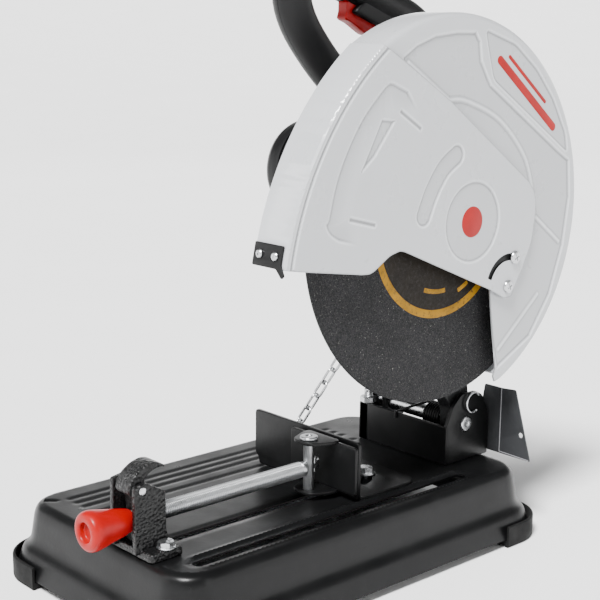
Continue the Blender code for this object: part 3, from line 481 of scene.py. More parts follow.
def plate(axis, low, high, outline, holes=(), edge=0.0005, steps=2):
    """A flat plate with rounded edges. Its outline is (y, z), (x, z) or (x, y)."""
    curve = bpy.data.curves.new("plate", "CURVE")
    curve.dimensions = "2D"
    curve.fill_mode = "BOTH"
    edge = min(edge, (high - low) * 0.45)
    curve.extrude = (high - low) / 2 - edge
    curve.bevel_depth = edge
    curve.bevel_resolution = steps
    curve.offset = -edge
    for loop in (outline, *holes):
        spline = curve.splines.new("POLY")
        spline.points.add(len(loop) - 1)
        for point, (across, up) in zip(spline.points, loop):
            point.co = (across, up, 0, 1)
        spline.use_cyclic_u = True
    middle = Matrix.Translation(at(axis, (low + high) / 2))
    return settled(new_object("plate", curve), middle @ PLATE_TURN[axis])


def box(low, high, edge=0.0006):
    return plate("Z", low[2], high[2], rounded(rectangle(*low[:2], *high[:2]), edge, 2), edge=edge)


def turned(axis, centre, profile, sides=56, round_by=0.0004):
    """A turned shape. The profile's points are (radius, place along the axis), and go round its section."""
    points = []
    count = len(profile)
    for i, (radius, place) in enumerate(profile):
        before, after = Vector(profile[i - 1]), Vector(profile[(i + 1) % count])
        here = Vector((radius, place))
        if radius == 0 or not round_by:
            points.append(tuple(here))
            continue
        one, two = before - here, after - here
        start = here + one.normalized() * min(round_by, one.length * 0.4)
        end = here + two.normalized() * min(round_by, two.length * 0.4)
        points += [tuple(start), tuple(start * 0.25 + here * 0.5 + end * 0.25), tuple(end)]
    maker = bmesh.new()
    rings = []
    for radius, place in points:
        if radius < 1e-7:
            rings.append([maker.verts.new((0, 0, place))] * sides)
        else:
            rings.append([maker.verts.new((*co, place)) for co in circle((0, 0), radius, sides)])
    banded(maker, rings, True)
    return placed(maker, axis, centre)


def rod(axis, low, high, centre, radius, sides=40, edge=0.0004):
    return turned(axis, centre, [(0, low), (radius, low), (radius, high), (0, high)], sides, edge)


def drill(axis, low, high, centre, radius, sides=32):
    return rod(axis, low, high, centre, radius, sides, 0)


def hexagon(axis, base, top, centre, reach, hole=0.0, turn=0.0):
    """A hexagon head or nut: reach is half its width across flats, and its top corners are chamfered."""
    sides, way = 48, 1 if top > base else -1
    maker = bmesh.new()
    rings = []
    for share, height in ((0, base), (1, base), (1, top), (0.955, top), (0.9, top), (0, top)):
        ring = []
        for i in range(sides):
            angle = CIRCLE * i / sides
            flat = (angle + pi / 6) % (pi / 3) - pi / 6
            radius = reach / cos(flat) * share if share else hole
            chamfer = way * max(0, radius - reach * 0.97) * 0.55 if height == top else 0
            ring.append(maker.verts.new((*on_circle((0, 0), radius, angle + turn), height - chamfer)))
        rings.append(ring)
    banded(maker, rings, bool(hole))
    return placed(maker, axis, centre)


def threaded(axis, low, high, centre, radius, pitch, depth, sides=28, per_turn=8, starts=1):
    """A rod with a screw thread, flat at both ends."""
    maker = bmesh.new()
    count = max(2, round((high - low) / pitch * per_turn))
    rings = []
    for k in range(count + 1):
        place = low + (high - low) * k / count
        fade = min(1.0, (place - low) / pitch, (high - place) / pitch)
        ring = []
        for i in range(sides):
            phase = (place / pitch - starts * i / sides) % 1.0
            tooth = min(1.0, abs(phase - 0.5) * 2.6)
            out = radius - depth * (1 - fade * (1 - tooth))
            ring.append(maker.verts.new((*on_circle((0, 0), out, CIRCLE * i / sides), place)))
        rings.append(ring)
    banded(maker, rings)
    maker.faces.new(rings[0])
    maker.faces.new(rings[-1])
    return placed(maker, axis, centre)


def wire(points, radius, resolution=5, cyclic=False):
    curve = bpy.data.curves.new("wire", "CURVE")
    curve.dimensions = "3D"
    curve.bevel_depth = radius
    curve.bevel_resolution = resolution
    curve.use_fill_caps = not cyclic
    spline = curve.splines.new("POLY")
    spline.points.add(len(points) - 1)
    for point, place in zip(spline.points, points):
        point.co = (*place, 1)
    spline.use_cyclic_u = cyclic
    return settled(new_object("wire", curve))


def carve(target, *cutters, operation="DIFFERENCE"):
    for cutter in cutters:
        modifier = target.modifiers.new("cut", "BOOLEAN")
        modifier.operation = operation
        modifier.object = cutter
    result = settled(target)
    for cutter in cutters:
        drop(cutter)
    return result


def together(*objs):
    """One object out of several shapes, each kept closed in itself."""
    maker = bmesh.new()
    for obj in objs:
        maker.from_mesh(obj.data)
    for obj in objs:
        drop(obj)
    return plain_object(maker)


def moved(obj, matrix):
    obj.data.transform(matrix)
    return obj


def tipped(place, angle):
    """A turn about X, and then a move to this (y, z)."""
    return Matrix.Translation((0, *place)) @ Matrix.Rotation(angle, 4, "X")


def done(obj, name, finish, body, *replaced, smooth=38):
    """Names a piece, gives it its finish, sets it on the frame and ties it to its body."""
    obj.name = obj.data.name = name
    obj.data.materials.clear()
    obj.data.materials.append(FINISH[finish])
    obj.data.transform(Matrix.Translation(SHIFT))
    obj.data.shade_smooth()
    obj.data.set_sharp_from_angle(angle=radians(smooth))
    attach(obj, body)
    SLOT_OF.get(finish, finish)
    if replaced:
        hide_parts(*replaced)
    return obj


# ---------------------------------------------------------------- pressed sheet


def smooth(values):
    values = np.clip(values, 0, 1)
    return values * values * (3 - 2 * values)


def distance(places, line, cyclic=False):
    """How far each place is from a line of points."""
    line = np.asarray(line, float)
    starts, ends = (line, np.roll(line, -1, 0)) if cyclic else (line[:-1], line[1:])
    nearest = np.full(len(places), 1e9)
    for start, end in zip(starts, ends):
        run = end - start
        share = np.clip(((places - start) @ run) / (run @ run), 0, 1)
        nearest = np.minimum(nearest, np.linalg.norm(places - start - share[:, None] * run, axis=1))
    return nearest


def within(places, outline):
    """Which places lie inside a closed outline."""
    outline = np.asarray(outline, float)
    result = np.zeros(len(places), bool)
    for (x1, y1), (x2, y2) in zip(outline, np.roll(outline, -1, 0)):
        spans = (y1 > places[:, 1]) != (y2 > places[:, 1])
        if spans.any():
            cross = x1 + (places[:, 1] - y1) * (x2 - x1) / (y2 - y1 if y2 != y1 else 1e-12)
            result ^= spans & (places[:, 0] < cross)
    return result


def bead(places, line, half_width, height):
    return height * smooth(1 - distance(places, line) / half_width)


def step_up(places, outline, edge, height):
    """A panel raised by height over its whole outline, with a soft edge of this width."""
    inward = distance(places, outline, True) * np.where(within(places, outline), 1, -1)
    return height * smooth(inward / edge + 0.5)


def meshed(outline, holes, spacing):
    """Points and triangles that fill an outline with a fine even grid."""
    loops = [list(map(tuple, loop)) for loop in (outline, *holes)]
    low, high = np.min(outline, 0), np.max(outline, 0)
    across = np.arange(low[0] + spacing / 2, high[0], spacing)
    rows = np.arange(low[1] + spacing / 2, high[1], spacing * 0.866)
    grid = np.array([(x + (k % 2) * spacing / 2, y) for k, y in enumerate(rows) for x in across])
    keep = within(grid, outline) & (distance(grid, outline, True) > spacing * 0.55)
    for hole in holes:
        keep &= ~within(grid, hole) & (distance(grid, hole, True) > spacing * 0.55)
    grid = grid[keep]
    corners, edges = [], []
    for loop in loops:
        first = len(corners)
        corners += loop
        edges += [(first + i, first + (i + 1) % len(loop)) for i in range(len(loop))]
    points = [Vector(p) for p in corners] + [Vector(p) for p in grid]
    places, _, faces, *_ = delaunay_2d_cdt(points, edges, [], 1, 1e-7)
    places = np.array([tuple(p) for p in places])
    faces = np.array([face for face in faces if len(face) == 3])
    middles = places[faces].mean(axis=1)
    keep = within(middles, outline)
    for hole in holes:
        keep &= ~within(middles, hole)
    return places, faces[keep]


def refined(loop, length):
    """The same closed line with points at least this often."""
    result = []
    for start, end in zip(loop, loop[1:] + loop[:1]):
        parts = max(1, round(hypot(end[0] - start[0], end[1] - start[1]) / length))
        result += [
            (start[0] + (end[0] - start[0]) * i / parts, start[1] + (end[1] - start[1]) * i / parts)
            for i in range(parts)
        ]
    return result


def painted_relief_shade(emboss, places):
    """Painted shade and highlight on pressed relief: near 1, a painted shade, at the foot of a step and in
    recesses, and -1, a painted highlight, at its lip.
    """
    reach, sharpest = 0.0011, 420
    level = emboss(places)
    moves = ((reach, 0), (-reach, 0), (0, reach), (0, -reach))
    around = sum(emboss(places + np.array(move)) for move in moves)
    bend = (around - 4 * level) / reach**2
    # Recessed areas get a little more painted shade.
    return np.clip(bend / sharpest, -1, 1) + 0.22 * smooth(-level / 0.0011)


def filled(maker, places, faces, lift):
    """Adds a surface of these triangles, each place raised by lift, and says which points it made."""
    verts = [maker.verts.new((x, y, up)) for (x, y), up in zip(places, lift)]
    for face in faces:
        maker.faces.new([verts[i] for i in face])
    return verts


def face_up(maker):
    bmesh.ops.recalc_face_normals(maker, faces=maker.faces)
    if sum(face.normal.z * face.calc_area() for face in maker.faces) < 0:
        bmesh.ops.reverse_faces(maker, faces=maker.faces)


def thickened(maker, thickness):
    obj = plain_object(maker)
    solid = obj.modifiers.new("sheet", "SOLIDIFY")
    solid.thickness = thickness
    solid.offset = -1
    solid.use_even_offset = False
    return settled(obj)


def skin(places, faces, lift, thickness, skirts=(), shade_marks=()):
    """A guard's sheet, with skirts down from the edges that each test finds, made solid and set across X."""
    maker = bmesh.new()
    # Each point keeps its painted shade or painted highlight value in this layer.
    layer = maker.verts.layers.float.new(RELIEF_SHADE_LAYER)
    for vert, relief_shade in zip(filled(maker, places, faces, lift), shade_marks):
        vert[layer] = relief_shade
    face_up(maker)
    for test, bottom in skirts:
        edges = [e for e in maker.edges if e.is_boundary and all(test(v.co) for v in e.verts)]
        grown = bmesh.ops.extrude_edge_only(maker, edges=edges)["geom"]
        for vert in (v for v in grown if isinstance(v, bmesh.types.BMVert)):
            vert.co.z = bottom
    maker.transform(PLATE_TURN["X"])
    return thickened(maker, thickness)


# ---------------------------------------------------------------- base


def make_base_pan():
    """The pressed pan: a flared skirt with a ledge, a rounded shoulder, and a table with beads and slots."""
    profile = [(0.0, 0.0084), (0.0062, 0.0285), (0.0112, 0.0335), (0.0134, 0.0385)]
    profile += [(0.0166, 0.062), (0.0192, 0.0692), (0.0245, TABLE_Z)]
    line = rounded(profile, 0.0045, 5, cyclic=False, least=0.05)
    maker = bmesh.new()
    rings = []
    for inset, height in line:
        radius = 0.044 - 0.016 * inset / 0.0245
        corners = rounded_rectangle(BASE_HALF[0] - inset, BASE_HALF[1] - inset, radius, 12)
        top = []
        for i, (x, y) in enumerate(corners):
            far_x, far_y = corners[(i + 1) % len(corners)]
            parts = 16 if i % 13 == 12 else 1
            top += [(x + (far_x - x) * k / parts, y + (far_y - y) * k / parts) for k in range(parts)]
        rings.append([maker.verts.new((x, y, height)) for x, y in top])
    banded(maker, rings)
    slots = [stadium(*WHEEL_SLOT, 0.0055), stadium(*CENTRE_SLOT, 0.0045)]
    places, faces = meshed(top, slots, 0.003)
    lift = TABLE_Z - step_up(places, stadium(*WHEEL_SLOT, 0.01), 0.004, 0.0013)
    lift -= step_up(places, stadium(*CENTRE_SLOT, 0.008), 0.004, 0.0008)
    for x in (-0.098, -0.085, -0.072, -0.053):
        lift -= bead(places, [(x, -0.19), (x, 0.15)], 0.0046, 0.0012)
    lift -= bead(places, [(-0.113, -0.212), (-0.103, -0.202)], 0.0036, 0.0016)
    lip = abs(distance(places, [(0.102, -0.183), (0.102, 0.144)]) - 0.0125)
    lift += 0.0011 * smooth(1 - lip / 0.003)
    filled(maker, places, faces, lift)
    bmesh.ops.remove_doubles(maker, verts=maker.verts, dist=2e-5)
    face_up(maker)
    done(thickened(maker, PAN_SHEET), "pressed_base", "black_paint", "base", "base_pan", smooth=32)


def make_feet():
    arm = 0.07
    for front_rear, sign_y in (("front", -1), ("rear", 1)):
        for side, sign_x in (("left", -1), ("right", 1)):
            foot = plate("Z", 0, 0.0225, rounded_rectangle(*FOOT_HALF, 0.047, 12), edge=0.0016, steps=4)
            room = plate("Z", 0.0066, 0.03, rounded_rectangle(0.1464, 0.2419, 0.0444, 12), edge=0.0002)
            keep_x = sorted((sign_x * 0.2, sign_x * (FOOT_HALF[0] - arm)))
            keep_y = sorted((sign_y * 0.3, sign_y * (FOOT_HALF[1] - arm)))
            corner = box((keep_x[0], keep_y[0], -0.01), (keep_x[1], keep_y[1], 0.04))
            hollow = rounded_rectangle(FOOT_HALF[0] - 0.016, FOOT_HALF[1] - 0.016, 0.03, 8)
            foot = carve(foot, corner, operation="INTERSECT")
            foot = carve(foot, room, plate("Z", -0.01, 0.04, hollow))
            groove = rounded_rectangle(FOOT_HALF[0] - 0.0045, FOOT_HALF[1] - 0.0045, 0.0425, 10)
            core = rounded_rectangle(FOOT_HALF[0] - 0.0115, FOOT_HALF[1] - 0.0115, 0.0355, 10)
            foot = carve(foot, plate("Z", -0.001, 0.0011, groove, [core], edge=0.0001))
            name = f"{front_rear}_{side}"
            done(foot, f"rubber_foot_{name}", "rubber", "base", f"foot_{name}", smooth=30)


def hex_bolt(axis, face, top, tip, centre, reach, shank, washer=None, turn=0.0):
    """A bolt: a head that stands on face and ends at top, with its shank down to tip."""
    way = 1 if top > face else -1
    parts = [hexagon(axis, face, top, centre, reach, turn=turn)]
    parts.append(threaded(axis, *sorted((face + way * 0.0004, tip)), centre, shank, 0.00125, 0.0006, 20, 5))
    if washer:
        radius, thick = washer
        parts.append(rod(axis, *sorted((face, face - way * thick)), centre, radius, edge=0.0003))
        parts.append(rod(axis, *sorted((face, face + way * 0.0006)), centre, reach * 1.02, edge=0.0002))
    return together(*parts)


def make_vise_bracket():
    """The cast nut bracket: a foot, a body round the screw and two ears for the half nut."""
    foot_outline = rounded(rectangle(0.011, -0.222, 0.081, -0.187), 0.006, 5)
    foot = plate("Z", FLOOR, 0.08, foot_outline, edge=0.0016, steps=4)
    ear = [(-0.227, 0.076), (-0.227, 0.1375), (-0.215, 0.1395), (-0.1945, 0.1275), (-0.194, 0.092)]
    ear = rounded(ear + [(-0.1885, 0.076)], 0.0022, 4)
    body = rounded([(-0.216, 0.076), (-0.216, SCREW_Z), (-0.198, SCREW_Z), (-0.198, 0.076)], 0.002, 3)
    shapes = [plate("X", 0.031, 0.061, body, edge=0.0012, steps=3)]
    for low, high in ((0.027, 0.032), (0.06, 0.065)):
        shapes.append(plate("X", low, high, ear, edge=0.0012, steps=4))
    bracket = carve(foot, *shapes, operation="UNION")
    drills = [drill("Y", -0.24, -0.18, SCREW_LINE, SCREW_R + 0.0006)]
    drills += [drill("X", 0.0, 0.1, LEVER_AXIS, 0.0033)]
    drills += [drill("Z", 0.06, 0.09, place, 0.0044) for place in BRACKET_BOLTS]
    done(carve(bracket, *drills), "cast_vise_bracket", "cast_black", "base", "vise_bracket", smooth=40)
    for side, place in zip(("left", "right"), BRACKET_BOLTS):
        piece = hex_bolt("Z", 0.0816, 0.0863, 0.055, place, 0.0065, 0.004, (0.0085, 0.0013), turn=0.3)
        done(piece, f"hex_bolt_bracket_{side}", "zinc_steel", "base", f"bracket_bolt_{side}")
    rivet = [(0, 0.0652), (0.0036, 0.0652), (0.0034, 0.0658), (0.0022, 0.0662), (0, 0.0662)]
    pin = together(
        rod("X", 0.025, 0.066, LEVER_AXIS, 0.0029, edge=0.0006),
        turned("X", LEVER_AXIS, rivet),
        rod("X", 0.0252, 0.0266, LEVER_AXIS, 0.004, edge=0.0003),
    )
    done(pin, "lever_rivet", "zinc_steel", "base", "nut_lever_pin")


def make_nut_lever():
    """The half nut with its swept thumb tab. The tab's points are in millimetres from the pin."""
    tab = [(-8.5, -4), (-7.5, 4), (-2, 11.5), (7, 17.2), (17, 19.7), (24, 18.5), (32, 13.5), (22.5, 13.8)]
    tab += [(14, 11), (8.5, 5.5), (8, -4), (19, -12), (19, -28), (3, -28), (1, -10)]
    tab = [(LEVER_AXIS[0] + y / 1000, LEVER_AXIS[1] + z / 1000) for y, z in tab]
    lever = plate("X", 0.0355, 0.0565, rounded(tab, 0.0035, 5, least=0.05), edge=0.0018, steps=4)
    drills = [drill("X", 0, 0.1, LEVER_AXIS, 0.0033), drill("Y", -0.25, -0.15, SCREW_LINE, SCREW_R + 0.0004)]
    done(carve(lever, *drills), "half_nut_lever", "cast_black", "lever_group", "nut_lever")


def make_fence():
    """The fence: an angle with round corners, an arc slot for its lock bolt and a bend radius."""
    wall = rounded([(-0.066, 0.0835), (-0.06, 0.0785), (-0.06, FLOOR), (0.087, FLOOR), (0.087, 0.13),
                    (-0.066, 0.13)], 0.004, 4)
    fence = [plate("Y", 0.017, 0.021, wall, edge=0.0007, steps=3)]
    foot = rounded([(-0.025, 0.0195), (0.087, 0.0195), (0.09, 0.023), (0.09, 0.1), (-0.025, 0.1)], 0.018, 7)
    reach = hypot(FENCE_LOCK[0] - FENCE_PIVOT[0], FENCE_LOCK[1] - FENCE_PIVOT[1])
    start, spare = atan2(FENCE_LOCK[1] - FENCE_PIVOT[1], FENCE_LOCK[0] - FENCE_PIVOT[0]), 0.17
    slot = arc_band(FENCE_PIVOT, reach, 0.0052, start - FENCE_TURN - spare, start + spare, 20)
    holes = [circle(FENCE_PIVOT, 0.0043), rounded(slot, 0.004, 4)]
    fence.append(plate("Z", FLOOR, FLOOR + 0.004, foot, holes, edge=0.0007, steps=3))
    inner = [(0.0205, FLOOR + 0.0035)] + arc((0.0235, FLOOR + 0.0065), 0.0025, -pi / 2, -pi, 5)
    fence.append(plate("X", -0.02, 0.084, inner, edge=0.0001))
    done(together(*fence), "angle_fence", "black_paint", "fence_group", "fence")
    top = FLOOR + 0.004 + GAP
    for name, centre, turn in (("fence_pivot_bolt", FENCE_PIVOT, 0.2), ("fence_lock_bolt", FENCE_LOCK, 0.7)):
        piece = hex_bolt("Z", top + 0.002, top + 0.0075, 0.06, centre, 0.0065, 0.0039, (0.0095, 0.002), turn)
        done(piece, f"hex_{name}", "zinc_steel", "base", name)


def make_jaw():
    """The jaw: a flat face with rounded corners and two drilled ears folded back round the pin."""
    face = rounded(rectangle(0.0, 0.08, 0.092, 0.128), 0.0035, 4)
    parts = [plate("Y", 0.008, 0.0117, face, edge=0.0007, steps=3)]
    ear = [(0.024, 0.011), (0.068, 0.011), (0.068, 0.002), (0.06, -0.017), (0.054, -0.021)]
    ear = rounded(ear + [(0.038, -0.021), (0.032, -0.017), (0.024, 0.002)], 0.005, 5)
    hole = circle((SCREW_X, JAW_PIN_Y), 0.0056)
    for low, high in ((0.0775, 0.0805), (0.1275, 0.1305)):
        parts.append(plate("Z", low, high, ear, [hole], edge=0.0006, steps=3))
    done(together(*parts), "vise_jaw_plate", "black_paint", "jaw_group", "vise_jaw")
    centre = (SCREW_X, JAW_PIN_Y)
    profile = [(0, 0.0745), (0.0044, 0.0745), (0.0052, 0.0753), (0.0052, 0.1308), (0.0088, 0.1308)]
    profile += [(0.0088, 0.133), (0.008, 0.1338), (0.0034, 0.1338), (0.003, 0.1331), (0, 0.1331)]
    pin = carve(turned("Z", centre, profile), drill("Y", -0.03, 0.01, SCREW_LINE, 0.0029))
    done(pin, "jaw_hinge_pin", "bright_steel", "slide_group", "jaw_pin")


def make_vise_screw():
    shoulder = JAW_PIN_Y - 0.0056
    thread = (SCREW_R, SCREW_PITCH, SCREW_DEPTH, 36, 8, SCREW_STARTS)
    parts = [threaded("Y", -0.2186, shoulder - 0.0045, SCREW_LINE, *thread)]
    nose = [(0, shoulder - 0.005), (0.0072, shoulder - 0.005), (0.0072, shoulder - 0.001)]
    nose += [(0.0062, shoulder), (0.0026, shoulder), (0.0026, 0.001), (0, 0.001)]
    parts.append(turned("Y", SCREW_LINE, nose))
    parts.append(rod("Y", -0.258, -0.218, SCREW_LINE, 0.0045))
    done(together(*parts), "threaded_vise_screw", "bright_steel", "screw_group", "vise_screw", smooth=35)
    end = HANDLE_END_Y
    profile = [(0.0048, -0.219), (0.009, -0.219), (0.0104, -0.2215), (0.012, -0.228), (0.015, -0.243)]
    profile += [(0.0172, end + 0.0125), (0.018, end + 0.008), (0.0178, end + 0.0045), (0.0166, end + 0.0015)]
    profile += [(0.014, end), (0.0098, end), (0.0086, end + 0.0014), (0.0082, end + 0.006)]
    profile += [(0, end + 0.006), (0, -0.2584), (0.0048, -0.2584)]
    handle = turned("Y", SCREW_LINE, profile, 72, 0.0011)
    done(handle, "red_vise_handle", "red_plastic", "screw_group", "vise_handle", smooth=60)
    eye = arc((-0.0001, SCREW_Z + 0.0065), 0.0024, pi, -pi + 0.75, 18)
    route = [(SCREW_X, -0.0025, SCREW_Z - 0.0062)] + [(SCREW_X, y, z) for y, z in eye]
    done(wire(route, 0.0008), "split_pin", "zinc_steel", "screw_group", "cotter_pin")


def make_pivot_bracket():
    """The U bracket of the pivot, folded from one plate, with the stop's column in its corner."""
    wall_top = 0.114
    wall = rounded(rectangle(-0.054, FLOOR, 0.074, wall_top), 0.001, 3)
    parts = [plate("Y", 0.158, 0.162, wall, edge=0.0009, steps=3)]
    ear = [(0.1585, FLOOR), (0.226, FLOOR), (0.226, 0.098)] + arc(PIVOT, 0.024, radians(20), radians(125), 10)
    ear += [(0.176, wall_top), (0.1585, wall_top)]
    tall = [(0.1585, FLOOR), (0.226, FLOOR), (0.226, 0.118), (0.214, 0.14), (0.203, 0.1455)]
    tall += [(0.181, 0.1455), (0.168, 0.134), (0.1585, 0.114)]
    for low, high, shape in ((-0.054, -0.05, ear), (0.07, 0.074, tall)):
        outline = rounded(shape, 0.003, 4)
        parts.append(plate("X", low, high, outline, [circle(PIVOT, 0.0084)], edge=0.0008, steps=3))
    floor_outline = rounded(rectangle(-0.053, 0.16, 0.073, 0.222), 0.001, 2)
    parts.append(plate("Z", FLOOR, FLOOR + 0.004, floor_outline, edge=0.0008))
    column = rounded(rectangle(-0.0535, 0.158, -0.04, 0.1725), 0.0015, 3)
    parts.append(plate("Z", FLOOR, wall_top, column, [circle(STOP_BOLT, 0.0053)], edge=0.0006))
    done(together(*parts), "folded_pivot_bracket", "black_paint", "base", "pivot_bracket")
    profile = [(0, -0.062), (0.0105, -0.062), (0.012, -0.0606), (0.012, -0.0545), (0.008, -0.0545)]
    profile += [(0.008, 0.0738), (0.007, 0.0748), (0.003, 0.0748), (0.0026, 0.0742), (0, 0.0742)]
    done(turned("X", PIVOT, profile), "pivot_pin", "zinc_steel", "base", "pivot_shaft")
    nut = hexagon("Z", 0.1145, 0.1205, STOP_BOLT, 0.008, hole=0.0051, turn=0.25)
    done(nut, "stop_lock_nut", "zinc_steel", "base", "stop_nut")
    tip = [(0, STOP_TOP - 0.004), (0.0049, STOP_TOP - 0.004), (0.0049, STOP_TOP - 0.0018)]
    tip += [(0.0036, STOP_TOP), (0, STOP_TOP)]
    thread = threaded("Z", 0.084, STOP_TOP - 0.0035, STOP_BOLT, 0.005, 0.0015, 0.0007, 28, 6)
    stop = together(thread, turned("Z", STOP_BOLT, tip))
    done(stop, "threaded_stop", "zinc_steel", "stop", "stop_bolt", smooth=50)


def make_spark_guard():
    """The thin bent sheet behind the wheel, and the wire hook that holds the head down."""
    y = 0.2275
    outline = [(0.054, 0.0755), (0.13, 0.0755), (0.1075, 0.149), (0.0895, 0.1475), (0.066, 0.1475)]
    hole = circle((0.1165, 0.1015), 0.0028, 20)
    parts = [plate("Y", y, y + 0.0016, rounded(outline, 0.002, 3), [hole], edge=0.0004)]
    parts.append(box((0.056, 0.208, 0.0764), (0.068, y + 0.001, 0.078), 0.0004))
    parts.append(plate("Y", y + 0.0001, y + 0.001, rounded([(0.0885, 0.079), (0.0905, 0.079), (0.0905, 0.145),
                                                             (0.0885, 0.145)], 0.0009), edge=0.0004))
    done(together(*parts), "spark_sheet", "grey_paint", "base", "spark_guard")
    # A lighter bead along the bend and the lower edge: a painted highlight where the bent sheet catches the
    # light.
    lip = [(0.0893, y - 0.0002, 0.147), (0.0893, y - 0.0002, 0.0775), (0.1285, y - 0.0002, 0.0765)]
    done(wire(lip, 0.0006, 4), "spark_sheet_lip", "painted_bend_highlight", "base")
    hook = [(0.0775, 0.196 + dy, 0.135 + dz) for dy, dz in arc((0, 0), 0.0105, radians(40), radians(300), 36)]
    done(wire(hook, 0.0011, 6), "wire_lock_hook", "zinc_steel", "base", "lock_hook")


def make_return_spring():
    """The torsion spring. Its leg over the wall stays with the base, and so does its coil."""
    turns, per_turn, radius, pitch, start = 7, 36, 0.013, 0.0032, 0.0225
    route = [(0.003, 0.156, 0.1085), (0.003, 0.156, 0.116), (0.0215, PIVOT[0] - 0.006, PIVOT[1] + radius)]
    for i in range(turns * per_turn + 1):
        angle = pi / 2 - i * CIRCLE / per_turn
        route.append((start + pitch * i / per_turn, *on_circle(PIVOT, radius, angle)))
    x, y, z = route[-1]
    route.append((x + 0.0015, y + 0.009, z + 0.001))
    route = rounded(route[:4], 0.002, 4, cyclic=False) + route[4:]
    done(wire(route, 0.0014, 4), "coiled_return_spring", "black_paint", "base", "return_spring", smooth=60)


def make_chain():
    """Oval links, every second one turned a quarter. Half of them go with the head."""
    run = CHAIN_HEAD - CHAIN_FOOT
    count, wire_r = 10, 0.00135
    turn = run.to_track_quat("Z", "Y").to_matrix().to_4x4()
    link = [(x, 0, z) for x, z in stadium((0, -0.005), (0, 0.005), 0.0046, 12)]
    for name, body, first, replaced in (
        ("chain_links_lower", "chain_foot", 0, "chain_lower"),
        ("chain_links_upper", "chain_top", count // 2, "chain_upper"),
    ):
        links = []
        for i in range(first, first + count // 2):
            place = CHAIN_FOOT + run * ((i + 0.5) / count)
            quarter = Matrix.Rotation(pi / 2 * (i % 2) + 0.5, 4, "Z")
            stand = Matrix.Translation(place) @ turn @ quarter
            links.append(moved(wire(link, wire_r, 4, cyclic=True), stand))
        done(together(*links), name, "zinc_steel", body, replaced, smooth=70)
    foot_eye = [(x, 0, z) for x, z in arc((0, 0), 0.0042, -pi / 2, 1.2 * pi, 24)]
    foot = together(
        moved(wire(foot_eye, 0.0012, 4), Matrix.Translation(CHAIN_FOOT + Vector((0, -0.001, 0.0015)))),
        rod("Z", FLOOR, FLOOR + 0.0012, (CHAIN_FOOT.x, CHAIN_FOOT.y - 0.001), 0.0045),
    )
    done(foot, "chain_foot_eye", "zinc_steel", "base", smooth=60)


# ---------------------------------------------------------------- head


def arm_point(reach, front):
    way = atan2(SPINDLE[1] - PIVOT[1], SPINDLE[0] - PIVOT[0])
    y = PIVOT[0] + reach * cos(way) + front * cos(way + pi / 2)
    return (y, PIVOT[1] + reach * sin(way) + front * sin(way + pi / 2))


